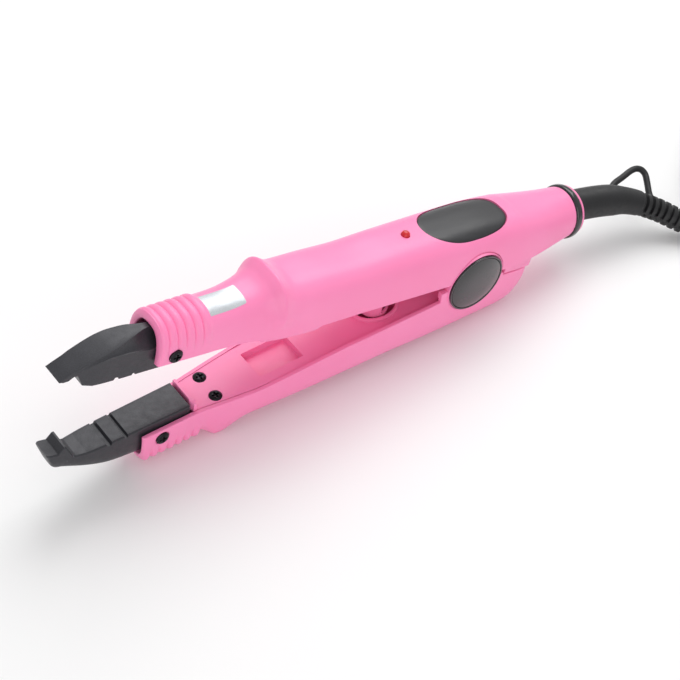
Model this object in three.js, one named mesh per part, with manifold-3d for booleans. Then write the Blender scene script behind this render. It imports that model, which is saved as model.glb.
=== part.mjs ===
// Hair extension iron: two pink arms on one pivot, charcoal jaws, a return spring and a mains cord.
// Millimetres, +Z up. Each arm is drawn shut: X runs back from the jaw tip, Y across, and Z is
// measured from the face where the jaws meet. The lower arm then lies level on the table, and the
// upper arm is turned open about the pivot.
import * as THREE from 'three';
import { mergeVertices } from 'three/addons/utils/BufferGeometryUtils.js';
import Module from 'manifold-3d';

const wasm = await Module();
wasm.setup();

// Whole iron and its cord
const ARM_LENGTH = 218;
const HALF_WIDTH = 13.9;
const UPPER_HEIGHT = 18;
const LOWER_DEPTH = 21.7;
const OPEN_ANGLE = THREE.MathUtils.degToRad(11.5);
const CORD_RADIUS = 3;
const WALL = 2.2;
const LOWER_WALL = 1.4;
const TOP_WALL = 3.4;
const FIT_GAP = 0.3;
const OVERRUN = 1;
const SEAT_FLAT = 0.2;
const TABLE_Z = SEAT_FLAT - LOWER_DEPTH;

// Edges of the two shells, seen from the jaws' meeting face
const UPPER_EDGE_Z = 4;
const LOWER_EDGE_Z = -0.4;

// Counts of steps round and along the surfaces
const ROUND_STEPS = 32;
const FINE_STEPS = 24;
const SMALL_STEPS = 16;
const HOLE_STEPS = 12;
const SECTION_STEPS = 16;
const INNER_STEPS = 10;
const UNDER_STEPS = 8;
const ROOM_STATIONS = 14;

// Places along the arm that follow its outline, as shares of its length
const placeShares = {
  stickerFrom: 0.2408,
  stopFrom: 0.2546,
  bulgeFrom: 0.3028,
  skirtFrom: 0.3257,
  edgeRiseFrom: 0.3486,
  stopTo: 0.3532,
  pocketFrom: 0.3647,
  bulgeTo: 0.3945,
  skirtTo: 0.4518,
  boardFrom: 0.5138,
  edgeRiseTo: 0.5138,
};

// Pivot: the pieces round it and the object's own frame follow its place.
const PIVOT_FROM_TAIL = 51.2;
const PIVOT_X = ARM_LENGTH - PIVOT_FROM_TAIL;
const PIVOT_Z = 2.1;
const FRAME_FROM_PIVOT = 55.05;
const MIDDLE_X = PIVOT_X - FRAME_FROM_PIVOT;
const PIN_RADIUS = 3;
const EAR_RADIUS = 13.1;
const EAR_PROUD = 0.1;
const EAR_FACE_Y = HALF_WIDTH + EAR_PROUD;
const EAR_THICKNESS = 2.6;
const EAR_INNER_Y = EAR_FACE_Y - EAR_THICKNESS;
const EAR_BLOCK_REACH = 15.3;
const EAR_FRONT_X = PIVOT_X - EAR_BLOCK_REACH;
const EAR_TOP_Z = UPPER_EDGE_Z - FIT_GAP;
const CAP_RADIUS = 11.75;
const CAP_EDGE = 0.9;
const CAP_DOME = 1.3;
const CAP_SEAT_DEPTH = 0.9;
const CHEEK_OUTER_Y = EAR_INNER_Y - FIT_GAP;
const CHEEK_THICKNESS = 2;
const CHEEK_RADIUS = 9;

// Barrels round the jaws, their half widths as shares of the iron's
const barrelShares = { upper: 0.69, lower: 0.59 };
const BARREL_FRONT_X = 33;
const BARREL_WALL = 1.6;
const BARREL_BORE_HALF = HALF_WIDTH * barrelShares.lower - BARREL_WALL;
const BARREL_BORE_TOP_Z = 14.9;
const BORE_SQUARENESS = 3;
const LIP_ROUND = 1.2;
const LIP_LENGTH = 2.1;
const FIRST_RIB_X = BARREL_FRONT_X + LIP_LENGTH;
const RIB_COUNT = 6;
const RIB_PITCH = 2.48;
const RIB_HEIGHT = 0.95;
const RIB_STEPS = 4;
const BARREL_REAR_X = FIRST_RIB_X + RIB_PITCH * RIB_COUNT;

// Jaws and the heaters in them
const JAW_REAR_X = 52;
const JAW_REAR_HALF = BARREL_BORE_HALF - FIT_GAP;
const JAW_HEIGHT = 14.6;
const JAW_SQUARENESS = 4;
const JAW_BORE_RADIUS = 2.5;
const JAW_CLEARANCE = 0.15;
const GROOVE_PLACES = [20.5, 26.8];
const GROOVE_HALF = 0.7;
const GROOVE_DEPTH = 0.9;
const HEATER_LENGTH = 27.5;
const HEATER_PAST_JAW = 5.5;
const HEATER_REAR_X = JAW_REAR_X + HEATER_PAST_JAW;
const HEATER_FRONT_X = HEATER_REAR_X - HEATER_LENGTH;
const HEATER_CLEARANCE = 0.3;
const LEAD_RADIUS = 0.8;
const LEAD_BEND_SHARE = 0.69;
const LEAD_STEPS = 16;
const LEAD_SIDES = 6;

// Nose of the upper jaw, from its tip back: along the arm and up from the meeting face
const NOSE_Z = 4.9;
const NOSE_FOOT_X = 1.6;
const NOSE_FOOT_Z = 4.2;
const NOTCH_FROM_X = 3.4;
const NOTCH_X = 5.2;
const NOTCH_Z = 6.3;
const NOTCH_TO_X = 6.6;
const MAIN_FOOT_X = 8.6;
const MAIN_FOOT_Z = 1.1;
const FLAT_FROM_X = 12;

// Tip of the lower jaw: pad, cross ridge and the slope down to the flat
const TIP_X = -1.3;
const TIP_TOP_Z = 5.8;
const RIDGE_FOOT_X = 2.7;
const RIDGE_FOOT_Z = 4.4;
const RIDGE_X = 4.9;
const RIDGE_TOP_Z = 6.4;
const RIDGE_CROWN = 0.6;
const SLOPE_X = 7.1;
const SLOPE_Z = 3.8;
const SLOPE_FOOT_X = 8.2;
const SLOPE_FOOT_Z = 2.4;
const LOWER_FLAT_X = 11.4;
const LOWER_FLAT_Z = 0.6;
const HULL_TOP_Z = 9;

// Screws
const SCREW_HEAD_RADIUS = 2.4;
const SCREW_HEAD_HEIGHT = 1.3;
const SCREW_SHANK_RADIUS = 1.2;
const SCREW_RECESS = 0.8;
const SCREW_SLOT_WIDTH = 0.7;
const SCREW_SLOT_LENGTH = 2.8;
const JAW_SCREW_SETBACK = 6.2;
const JAW_SCREW_X = BARREL_FRONT_X + JAW_SCREW_SETBACK;
const JAW_SCREW_Z = 6.9;
const SCREW_SINK = 0.6;
const JAW_SCREW_HEAD_Y = HALF_WIDTH * barrelShares.upper - SCREW_SINK;
const LOWER_SCREW_HEAD_Y = HALF_WIDTH * barrelShares.lower - SCREW_SINK;
const SHANK_BITE = 2.1;
const JAW_SHANK_TIP_Y = JAW_BORE_RADIUS + SHANK_BITE;
const COVER_SHANK = 3.4;
const SHANK_STEPS = 8;

// Hollow of the upper shell, and the skirts under its sides
const CAVITY_PAST_JAW = 5;
const CAVITY_FRONT_X = JAW_REAR_X + CAVITY_PAST_JAW;
const CAVITY_PAST_PIVOT = 17.2;
const CAVITY_END_X = PIVOT_X + CAVITY_PAST_PIVOT;
const BULGE_FROM_X = ARM_LENGTH * placeShares.bulgeFrom;
const BULGE_TO_X = ARM_LENGTH * placeShares.bulgeTo;
const TAIL_PAST_PIVOT = 14.2;
const TAIL_FROM_X = PIVOT_X + TAIL_PAST_PIVOT;
const WAIST_STATIONS = 3;
const BULGE_STATIONS = 10;
const BODY_STATIONS = 12;
const TAIL_STATIONS = 7;
const SKIRT_FROM_X = ARM_LENGTH * placeShares.skirtFrom;
const SKIRT_TO_X = ARM_LENGTH * placeShares.skirtTo;
const SKIRT_DROP = 1.5;
const SKIRT_STATIONS = 4;
const CHANNEL_RADIUS = 4;

// Plate, lamp, sticker and the board under them
const PLATE_OFFSET = 1;
const PLATE_MIDDLE_X = PIVOT_X - PLATE_OFFSET;
const PLATE_HALF_LENGTH = 17.2;
const PLATE_SIDE_INSET = 5.4;
const PLATE_HALF_WIDTH = HALF_WIDTH - PLATE_SIDE_INSET;
const PLATE_SQUARENESS = 2.5;
const PLATE_TOP_Z = 20.9;
const PLATE_THICKNESS = 0.8;
const LED_FROM_PIVOT = 28.6;
const LED_X = PIVOT_X - LED_FROM_PIVOT;
const LED_RADIUS = 1.5;
const LED_HEIGHT = 10;
const LED_STEPS = 20;
const STICKER_LENGTH = 13.5;
const STICKER_FROM_X = ARM_LENGTH * placeShares.stickerFrom;
const STICKER_TO_X = STICKER_FROM_X + STICKER_LENGTH;
const STICKER_NEAR_Y = -5.6;
const STICKER_FAR_Y = 2.6;
const STICKER_THICKNESS = 0.25;
const STICKER_STATIONS = 4;
const BOARD_TO_PIVOT = 10.8;
const BOARD_TO_X = PIVOT_X - BOARD_TO_PIVOT;
const BOARD_FROM_X = ARM_LENGTH * placeShares.boardFrom;
const BOARD_SIDE_ROOM = 5.9;
const BOARD_HALF = HALF_WIDTH - BOARD_SIDE_ROOM;
const BOARD_Z = 9;
const BOARD_THICKNESS = 1.6;
const CAPACITOR_INSET = 8;
const CAPACITOR_X = BOARD_TO_X - CAPACITOR_INSET;
const CAPACITOR_RADIUS = 3;
const CAPACITOR_TOP_ROOM = 0.8;

// Inner cover of the upper arm and its hollow spring post
const COVER_THICKNESS = 1.8;
const COVER_INSET = 1.3;
const COVER_FRONT_X = CAVITY_FRONT_X + COVER_INSET;
const COVER_TO_PIVOT = 13.8;
const UPPER_COVER_REAR_X = PIVOT_X - COVER_TO_PIVOT;
const COVER_SCREW_INSET = 3.8;
const COVER_SCREW_X = COVER_FRONT_X + COVER_SCREW_INSET;
const coverScrewShare = 0.3453;
const COVER_SCREW_Y = HALF_WIDTH * coverScrewShare;
const POST_FROM_PIVOT = 33.8;
const POST_X = PIVOT_X - POST_FROM_PIVOT;
const POST_RADIUS = 5.6;
const POST_BORE = 4.6;
const POST_TIP_Z = -10.4;
const POST_SLOT = 5;
const POST_SLOT_DEGREES = -70;

// Return spring and its well in the lower arm
const WELL_OFFSET = 0.8;
const WELL_X = POST_X - WELL_OFFSET;
const WELL_END_PLAY = 2.8;
const WELL_SIDE_PLAY = 0.8;
const WELL_HALF_LENGTH = POST_RADIUS + WELL_END_PLAY;
const WELL_HALF_WIDTH = POST_RADIUS + WELL_SIDE_PLAY;
const WELL_WALL = 1.3;
const WELL_FLOOR_Z = -15.2;
const WELL_FLOOR_THICKNESS = 3.1;
const WELL_RIM_RISE = 1.2;
const SPRING_OFFSET = 0.3;
const SPRING_X = POST_X - SPRING_OFFSET;
const SPRING_MEAN_RADIUS = 2.4;
const SPRING_WIRE_RADIUS = 0.45;
const SPRING_CURLS = 7;
const SPRING_CURL_STEPS = 8;
const SPRING_SIDES = 5;
const SPRING_TOP_Z = 12.7;

// Lower shell: its top edge is lower in front, where the jaw and the inner cover stand above it.
const LOWER_FRONT_X = BARREL_FRONT_X - LIP_ROUND;
const LOWER_RIB_LEAD = 1;
const LOWER_FIRST_RIB_X = FIRST_RIB_X - LOWER_RIB_LEAD;
const LOWER_RIB_COUNT = 8;
const HEEL_LENGTH = 27;
const LOWER_REAR_X = PIVOT_X + HEEL_LENGTH;
const STOP_FROM_X = ARM_LENGTH * placeShares.stopFrom;
const STOP_TO_X = ARM_LENGTH * placeShares.stopTo;
const STOP_STATIONS = 9;
const BODY_PAST_PIVOT = 12.2;
const LOWER_BODY_TO_X = PIVOT_X + BODY_PAST_PIVOT;
const LOWER_BODY_STATIONS = 8;
const HEEL_STATIONS = 6;
const FRONT_EDGE_Z = -3.2;
const EDGE_RISE_FROM_X = ARM_LENGTH * placeShares.edgeRiseFrom;
const EDGE_RISE_TO_X = ARM_LENGTH * placeShares.edgeRiseTo;
const SLOPE_PAST_PIVOT = 13.7;
const REAR_SLOPE_X = PIVOT_X + SLOPE_PAST_PIVOT;
const REAR_SLOPE_Z = -1.7;
const REAR_SLOPE_DROP = 3.6;
const ROOM_DEPTH_SHARE = 0.9;

// Inner cover of the lower arm, with its pocket
const LOWER_COVER_Z = -3;
const LOWER_COVER_THICKNESS = 1.3;
const LOWER_COVER_FRONT_X = JAW_REAR_X + FIT_GAP;
const LOWER_COVER_TO_PIVOT = 15.8;
const LOWER_COVER_REAR_X = PIVOT_X - LOWER_COVER_TO_PIVOT;
const FRONT_RIM = 1.4;
const POCKET_LENGTH = 18;
const POCKET_FROM_X = ARM_LENGTH * placeShares.pocketFrom;
const POCKET_TO_X = POCKET_FROM_X + POCKET_LENGTH;
const POCKET_SIDE_INSET = 7.9;
const POCKET_HALF = HALF_WIDTH - POCKET_SIDE_INSET;
const POCKET_DEPTH = 3;
const LEAD_DEPTH_Z = -9;

// Collar and end ring at the tail
const COLLAR_SIDE_INSET = 3.9;
const COLLAR_RADIUS = HALF_WIDTH - COLLAR_SIDE_INSET;
const COLLAR_LENGTH = 2.9;
const COLLAR_ROUND = 0.72;
const END_RING_INSET = 0.1;
const END_RING_RADIUS = COLLAR_RADIUS - END_RING_INSET;
const END_RING_LENGTH = 1;
const END_RING_FROM_X = ARM_LENGTH + FIT_GAP + COLLAR_LENGTH + FIT_GAP;
const TAIL_AXIS_Z = 9.6;

// Elbow boot with its ribbed end
const END_RING_WALL = 2.3;
const BOOT_BORE = END_RING_RADIUS - END_RING_WALL;
const BOOT_RISE = 0.9;
const BOOT_PLAY = 0.4;
const BOOT_FLARE = BOOT_BORE - BOOT_RISE - BOOT_PLAY;
const ELBOW_STEP = 0.6;
const ELBOW_RADIUS = BOOT_FLARE - ELBOW_STEP;
const BOOT_RIB_STEP = 0.4;
const BOOT_RIB_RADIUS = ELBOW_RADIUS - BOOT_RIB_STEP;
const BOOT_RIB_DEPTH = 0.9;
const BOOT_END_WALL = 1;
const BOOT_END_RADIUS = CORD_RADIUS + BOOT_END_WALL;
const BOOT_SIDES = 10;
const BOOT_STEPS = 52;
const BOOT_RIBS = 8;
const BOOT_RIB_FROM_SHARE = 0.58;
const BOOT_FLARE_SHARE = 0.16;

// Hang loop on the boot
const LOOP_ROD_RADIUS = 1.1;
const LOOP_FEET_SHARES = [0.31, 0.5];
const LOOP_REACH = 11.5;
const LOOP_RISE = 4.2;
const LOOP_APEX_SHARE = 0.7;
const LOOP_BEND_SHARE = 0.16;
const HANG_LOOP_STEPS = 22;
const HANG_LOOP_SIDES = 7;

// Cord, coil and tie
const CORD_Z = 4.2;
const CORD_STEPS = 10;
const CORD_SIDES = 8;
const COIL_RUN = 18;
const COIL_TURNS = 3.5;
const COIL_PITCH = 6.5;
const COIL_MEAN_RADIUS = 34.5;
const COIL_CLIMB_DIP = 1;
const COIL_LEAD = 2 * CORD_RADIUS;
const COIL_SIDES = 6;
const TAIL_BEND = 24;
const TAIL_STEPS = 8;
const LOOP_STEPS = 24;
const TIE_TURN_SHARE = 0.533;
const TIE_WIDTH = 5;
const TIE_THICKNESS = 0.8;
const TIE_CORNER = 3;

// Plug
const PLUG_LENGTH = 34;
const PLUG_HALF_WIDTH = 17.5;
const PLUG_HALF_HEIGHT = 6.5;
const PLUG_NECK = 4.4;
const PLUG_SQUARENESS = 2.6;
const PIN_LENGTH = 19;
const PLUG_PIN_RADIUS = 2;
const PIN_HALF_SPACING = 9.3;

const PINK = { color: 0xff91c3, roughness: 0.45, metalness: 0 };
const CHARCOAL = { color: 0x55555c, roughness: 0.42, metalness: 0.35 };
const BLACK_GLOSS = { color: 0x26262a, roughness: 0.15, metalness: 0 };
const BLACK_RUBBER = { color: 0x2a2a2e, roughness: 0.6, metalness: 0 };
const BLACK_STEEL = { color: 0x1c1c1f, roughness: 0.35, metalness: 0.8 };
const BRIGHT_STEEL = { color: 0xc8c8cc, roughness: 0.3, metalness: 1 };
const CERAMIC = { color: 0xe8e2d6, roughness: 0.7, metalness: 0 };
const BOARD_GREEN = { color: 0x2f6b3a, roughness: 0.6, metalness: 0 };
const SILVER_LABEL = { color: 0xd8dde2, roughness: 0.35, metalness: 0.2 };
const LED_RED = { color: 0xd8231c, roughness: 0.2, metalness: 0 };
const PLATE_BLACK = { color: 0x3a3b40, roughness: 0.35, metalness: 0 };
const LEAD_WHITE = { color: 0xdedede, roughness: 0.6, metalness: 0 };

// Geometry helpers

function toManifold(geometry) {
  const plain = geometry.clone();
  plain.deleteAttribute('normal');
  plain.deleteAttribute('uv');
  const merged = mergeVertices(plain, 1e-4);
  return new wasm.Manifold(new wasm.Mesh({
    numProp: 3,
    vertProperties: new Float32Array(merged.attributes.position.array),
    triVerts: new Uint32Array(merged.index.array),
  }));
}

function toGeometry(solid) {
  const mesh = solid.getMesh();
  const geometry = new THREE.BufferGeometry();
  const points = new Float32Array(mesh.vertProperties);
  geometry.setAttribute('position', new THREE.BufferAttribute(points, 3));
  geometry.setIndex(new THREE.BufferAttribute(new Uint32Array(mesh.triVerts), 1));
  return geometry;
}

// A closed skin over a row of rings with equal point counts, its ends closed by fans.
function skin(rings) {
  const points = [];
  const faces = [];
  const count = rings[0].length;
  rings.forEach((ring) => ring.forEach((point) => points.push(...point)));
  for (let r = 0; r + 1 < rings.length; r += 1) {
    for (let i = 0; i < count; i += 1) {
      const j = (i + 1) % count;
      const a = r * count + i;
      const b = r * count + j;
      faces.push(a, b, b + count, a, b + count, a + count);
    }
  }
  [0, rings.length - 1].forEach((r) => {
    const middle = points.length / 3;
    const centre = [0, 0, 0];
    rings[r].forEach((point) => point.forEach((value, axis) => { centre[axis] += value / count; }));
    points.push(...centre);
    for (let i = 0; i < count; i += 1) {
      const j = (i + 1) % count;
      const first = r * count + i;
      const second = r * count + j;
      if (r === 0) faces.push(middle, second, first);
      else faces.push(middle, first, second);
    }
  });
  const geometry = new THREE.BufferGeometry();
  geometry.setAttribute('position', new THREE.BufferAttribute(new Float32Array(points), 3));
  geometry.setIndex(faces);
  return signedVolume(geometry) < 0 ? turnedInsideOut(geometry) : geometry;
}

function signedVolume(geometry) {
  const p = geometry.attributes.position;
  const index = geometry.index.array;
  const a = new THREE.Vector3();
  const b = new THREE.Vector3();
  const c = new THREE.Vector3();
  let sum = 0;
  for (let i = 0; i < index.length; i += 3) {
    a.fromBufferAttribute(p, index[i]);
    b.fromBufferAttribute(p, index[i + 1]);
    c.fromBufferAttribute(p, index[i + 2]);
    sum += a.dot(b.cross(c));
  }
  return sum / 6;
}

function turnedInsideOut(geometry) {
  const index = geometry.index.array;
  for (let i = 0; i < index.length; i += 3) {
    [index[i + 1], index[i + 2]] = [index[i + 2], index[i + 1]];
  }
  return geometry;
}

// One arched section: half width a, height b away from base z, squareness p (2 is an ellipse).
// side is +1 for an arch that rises and -1 for one that hangs.
function archRing(x, a, b, p, base, side, steps) {
  const ring = [];
  for (let i = 0; i <= steps; i += 1) {
    const angle = (Math.PI * i) / steps;
    const across = Math.cos(angle);
    const along = Math.sin(angle);
    const y = a * Math.sign(across) * Math.abs(across) ** (2 / p);
    ring.push([x, y, base + side * b * along ** (2 / p)]);
  }
  return ring;
}

function ovalRing(x, a, top, bottom, p, steps) {
  const ring = [];
  const middle = (top + bottom) / 2;
  const half = (top - bottom) / 2;
  for (let i = 0; i < steps; i += 1) {
    const angle = (2 * Math.PI * i) / steps;
    const across = Math.cos(angle);
    const along = Math.sin(angle);
    const y = a * Math.sign(across) * Math.abs(across) ** (2 / p);
    const z = middle + half * Math.sign(along) * Math.abs(along) ** (2 / p);
    ring.push([x, y, z]);
  }
  return ring;
}

// Smooth reading of a table whose first column rises: one value per further column.
function readTable(table, x) {
  let k = 0;
  while (k + 2 < table.length && x > table[k + 1][0]) k += 1;
  const before = table[Math.max(0, k - 1)];
  const low = table[k];
  const high = table[k + 1];
  const after = table[Math.min(table.length - 1, k + 2)];
  const span = high[0] - low[0];
  const t = Math.min(1, Math.max(0, (x - low[0]) / span));
  return low.slice(1).map((value, c) => {
    const next = high[c + 1];
    const rise = next - value;
    let startSlope = before === low ? rise / span : (next - before[c + 1]) / (high[0] - before[0]);
    let endSlope = after === high ? rise / span : (after[c + 1] - value) / (after[0] - low[0]);
    if (startSlope * rise <= 0) startSlope = 0;
    if (endSlope * rise <= 0) endSlope = 0;
    const limit = (3 * Math.abs(rise)) / span;
    startSlope = Math.sign(startSlope) * Math.min(Math.abs(startSlope), limit);
    endSlope = Math.sign(endSlope) * Math.min(Math.abs(endSlope), limit);
    const t2 = t * t;
    const t3 = t2 * t;
    return value * (2 * t3 - 3 * t2 + 1) + next * (3 * t2 - 2 * t3)
      + span * (startSlope * (t3 - 2 * t2 + t) + endSlope * (t3 - t2));
  });
}

function cylinderY(radius, yFrom, yTo, x, z, steps = ROUND_STEPS) {
  const geometry = new THREE.CylinderGeometry(radius, radius, Math.abs(yTo - yFrom), steps);
  geometry.translate(x, (yFrom + yTo) / 2, z);
  return toManifold(geometry);
}

function cylinderX(radius, xFrom, xTo, y, z, steps = ROUND_STEPS / 2) {
  const geometry = new THREE.CylinderGeometry(radius, radius, xTo - xFrom, steps);
  geometry.rotateZ(Math.PI / 2);
  geometry.translate((xFrom + xTo) / 2, y, z);
  return toManifold(geometry);
}

function cylinderZ(radius, zFrom, zTo, x, y, steps = ROUND_STEPS / 2) {
  const geometry = new THREE.CylinderGeometry(radius, radius, zTo - zFrom, steps);
  geometry.rotateX(Math.PI / 2);
  geometry.translate(x, y, (zFrom + zTo) / 2);
  return toManifold(geometry);
}

function box(xFrom, xTo, yFrom, yTo, zFrom, zTo) {
  const geometry = new THREE.BoxGeometry(xTo - xFrom, yTo - yFrom, zTo - zFrom);
  geometry.translate((xFrom + xTo) / 2, (yFrom + yTo) / 2, (zFrom + zTo) / 2);
  return toManifold(geometry);
}

// A side outline in X and Z, drawn through from one Y to another.
function sidePlate(points, yFrom, yTo) {
  const shape = new THREE.Shape(points.map(([x, z]) => new THREE.Vector2(x, z)));
  const geometry = new THREE.ExtrudeGeometry(shape, { depth: yTo - yFrom, bevelEnabled: false });
  geometry.rotateX(Math.PI / 2);
  geometry.translate(0, yTo, 0);
  return toManifold(geometry);
}

function ovalColumn(halfLength, halfWidth, zFrom, zTo, x, steps = ROUND_STEPS) {
  const geometry = new THREE.CylinderGeometry(1, 1, zTo - zFrom, steps);
  geometry.rotateX(Math.PI / 2);
  geometry.scale(halfLength, halfWidth, 1);
  geometry.translate(x, 0, (zFrom + zTo) / 2);
  return toManifold(geometry);
}

function sum(solids) {
  return solids.reduce((whole, solid) => whole.add(solid));
}

function cutAll(solid, tools) {
  return tools.reduce((rest, tool) => rest.subtract(tool), solid);
}

// A tube of changing radius along a row of points, its section carried along without twist.
function sweptTube(points, radiusAt, sides, endSides = 0) {
  const rings = [];
  let normal = null;
  points.forEach((point, i) => {
    const before = points[Math.max(0, i - 1)];
    const after = points[Math.min(points.length - 1, i + 1)];
    const along = after.clone().sub(before).normalize();
    if (!normal) {
      const up = Math.abs(along.z) < 0.9 ? new THREE.Vector3(0, 0, 1) : new THREE.Vector3(1, 0, 0);
      normal = up.cross(along).normalize();
    }
    normal = normal.sub(along.clone().multiplyScalar(normal.dot(along))).normalize();
    const other = along.clone().cross(normal);
    const radius = radiusAt(i / (points.length - 1), i);
    const ring = [];
    for (let s = 0; s < sides; s += 1) {
      const angle = (2 * Math.PI * (s + endSides)) / sides;
      ring.push(point.clone()
        .addScaledVector(normal, radius * Math.cos(angle))
        .addScaledVector(other, radius * Math.sin(angle)).toArray());
    }
    rings.push(ring);
  });
  return skin(rings);
}

function piece(group, name, shape, look) {
  const geometry = shape.isBufferGeometry ? shape : toGeometry(shape);
  const mesh = new THREE.Mesh(geometry, new THREE.MeshStandardMaterial(look));
  mesh.name = name;
  group.add(mesh);
  return mesh;
}

// Upper shell

// Place along the arm, half width and height, each as a share of the driving size, and squareness.
const upperOutlineShares = [
  [0.15, 0.66, 0.74, 2.4],
  [0.23, 0.69, 0.755, 2.4],
  [0.265, 0.705, 0.76, 2.4],
  [0.294, 0.735, 0.77, 2.5],
  [0.32, 0.785, 0.775, 2.7],
  [0.338, 0.875, 0.865, 2.8],
  [0.353, 1, 1.06, 2.9],
  [0.363, 0.995, 1.055, 2.9],
  [0.376, 0.97, 0.985, 2.9],
  [0.394, 0.95, 0.93, 3],
  [0.454, 0.957, 0.915, 3],
  [0.52, 0.957, 0.89, 3],
  [0.585, 0.971, 0.93, 3],
  [0.65, 0.986, 0.955, 3],
  [0.715, 0.996, 0.98, 3],
  [0.785, 1, 1, 3],
  [0.858, 0.978, 0.955, 3],
  [0.872, 0.965, 0.91, 3],
  [0.922, 0.885, 0.732, 2.6],
  [0.963, 0.79, 0.618, 2.2],
  [1, 0.7, 0.539, 2],
];

// Behind the pivot the section closes underneath: place, rise of its middle line and depth below it.
const tailShares = [
  [0.82, 0, 0],
  [0.853, 0, 0.111],
  [0.872, 0.017, 0.11],
  [0.922, 0.133, 0.265],
  [0.963, 0.233, 0.43],
  [1, 0.311, 0.539],
];

function ribSwell(x, first, pitch, count) {
  const turns = (x - first) / pitch;
  if (turns < -0.5 || turns > count - 0.5) return 0;
  return RIB_HEIGHT * (0.5 + 0.5 * Math.cos(2 * Math.PI * turns));
}

function upperSize(x) {
  const [width, height, squareness] = readTable(upperOutlineShares, x / ARM_LENGTH);
  const lip = Math.max(0, BARREL_FRONT_X + LIP_ROUND - x) / LIP_ROUND;
  const swell = ribSwell(x, FIRST_RIB_X, RIB_PITCH, RIB_COUNT) - LIP_ROUND * lip * lip;
  return [width * HALF_WIDTH + swell, height * UPPER_HEIGHT + swell, squareness];
}

function stationsBetween(from, to, count) {
  return Array.from({ length: count + 1 }, (_, i) => from + ((to - from) * i) / count);
}

function upperRing(x) {
  const [a, b, p] = upperSize(x);
  const [rise, depth] = readTable(tailShares, x / ARM_LENGTH);
  const base = UPPER_EDGE_Z + rise * UPPER_HEIGHT;
  const above = archRing(x, a, b, p, base, 1, SECTION_STEPS);
  const below = archRing(x, a, depth * UPPER_HEIGHT, p, base, -1, UNDER_STEPS);
  return [...above, ...below.slice(1, -1).reverse()];
}

function barrelStations() {
  const ribsEnd = FIRST_RIB_X + RIB_PITCH * (RIB_COUNT - 0.5);
  const lip = [BARREL_FRONT_X, BARREL_FRONT_X + LIP_ROUND / 2];
  const ribs = stationsBetween(FIRST_RIB_X - RIB_PITCH / 2, ribsEnd, RIB_COUNT * RIB_STEPS);
  return [...lip, ...ribs];
}

function plateOutline(grow, zFrom, zTo) {
  const ring = [];
  for (let i = 0; i < ROUND_STEPS; i += 1) {
    const angle = (2 * Math.PI * i) / ROUND_STEPS;
    const across = Math.cos(angle);
    const along = Math.sin(angle);
    const x = (PLATE_HALF_LENGTH + grow) * Math.sign(across) * Math.abs(across) ** (2 / PLATE_SQUARENESS);
    const y = (PLATE_HALF_WIDTH + grow) * Math.sign(along) * Math.abs(along) ** (2 / PLATE_SQUARENESS);
    ring.push([PLATE_MIDDLE_X + x, y]);
  }
  return toManifold(skin([zFrom, zTo].map((z) => ring.map(([x, y]) => [x, y, z]))));
}

function pivotCheek(side) {
  const inner = side * (CHEEK_OUTER_Y - CHEEK_THICKNESS);
  const outer = side * CHEEK_OUTER_Y;
  const yFrom = Math.min(inner, outer);
  const yTo = Math.max(inner, outer);
  const disc = cylinderY(CHEEK_RADIUS, yFrom, yTo, PIVOT_X, PIVOT_Z);
  const stem = box(PIVOT_X - CHEEK_RADIUS, PIVOT_X + CHEEK_RADIUS, yFrom, yTo,
    PIVOT_Z, UPPER_EDGE_Z + UPPER_HEIGHT - TOP_WALL);
  return disc.add(stem);
}

function skirt(side) {
  const edge = [];
  stationsBetween(SKIRT_FROM_X, SKIRT_TO_X, SKIRT_STATIONS).forEach((x) => {
    const outer = side * (upperSize(x)[0] - FIT_GAP);
    const inner = side * (upperSize(x)[0] - WALL);
    const low = UPPER_EDGE_Z - SKIRT_DROP;
    const high = UPPER_EDGE_Z + OVERRUN;
    edge.push([[x, outer, low], [x, outer, high], [x, inner, high], [x, inner, low]]);
  });
  return toManifold(skin(edge));
}

// The hollow of the upper shell, drawn in all round by an inset.
function upperRoom(inset) {
  return toManifold(skin(stationsBetween(CAVITY_FRONT_X, CAVITY_END_X, ROOM_STATIONS).map((x) => {
    const [a, b, p] = upperSize(x);
    const height = b - TOP_WALL + OVERRUN - inset;
    return archRing(x, a - WALL - inset, height, p, UPPER_EDGE_Z - OVERRUN, 1, INNER_STEPS);
  })));
}

function upperStations() {
  return [
    ...barrelStations(),
    ...stationsBetween(BARREL_REAR_X, BULGE_FROM_X, WAIST_STATIONS).slice(0, -1),
    ...stationsBetween(BULGE_FROM_X, BULGE_TO_X, BULGE_STATIONS).slice(0, -1),
    ...stationsBetween(BULGE_TO_X, TAIL_FROM_X, BODY_STATIONS).slice(0, -1),
    ...stationsBetween(TAIL_FROM_X, ARM_LENGTH, TAIL_STATIONS),
  ];
}

// The shank's way and the flat seat of the head of the two screws that hold a jaw.
function jawScrewCuts(headY, z) {
  return [1, -1].flatMap((side) => [
    cylinderY(SCREW_SHANK_RADIUS + FIT_GAP, 0, side * HALF_WIDTH, JAW_SCREW_X, z, HOLE_STEPS),
    cylinderY(SCREW_HEAD_RADIUS + FIT_GAP, side * (headY - FIT_GAP), side * HALF_WIDTH,
      JAW_SCREW_X, z, FINE_STEPS),
  ]);
}

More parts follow.
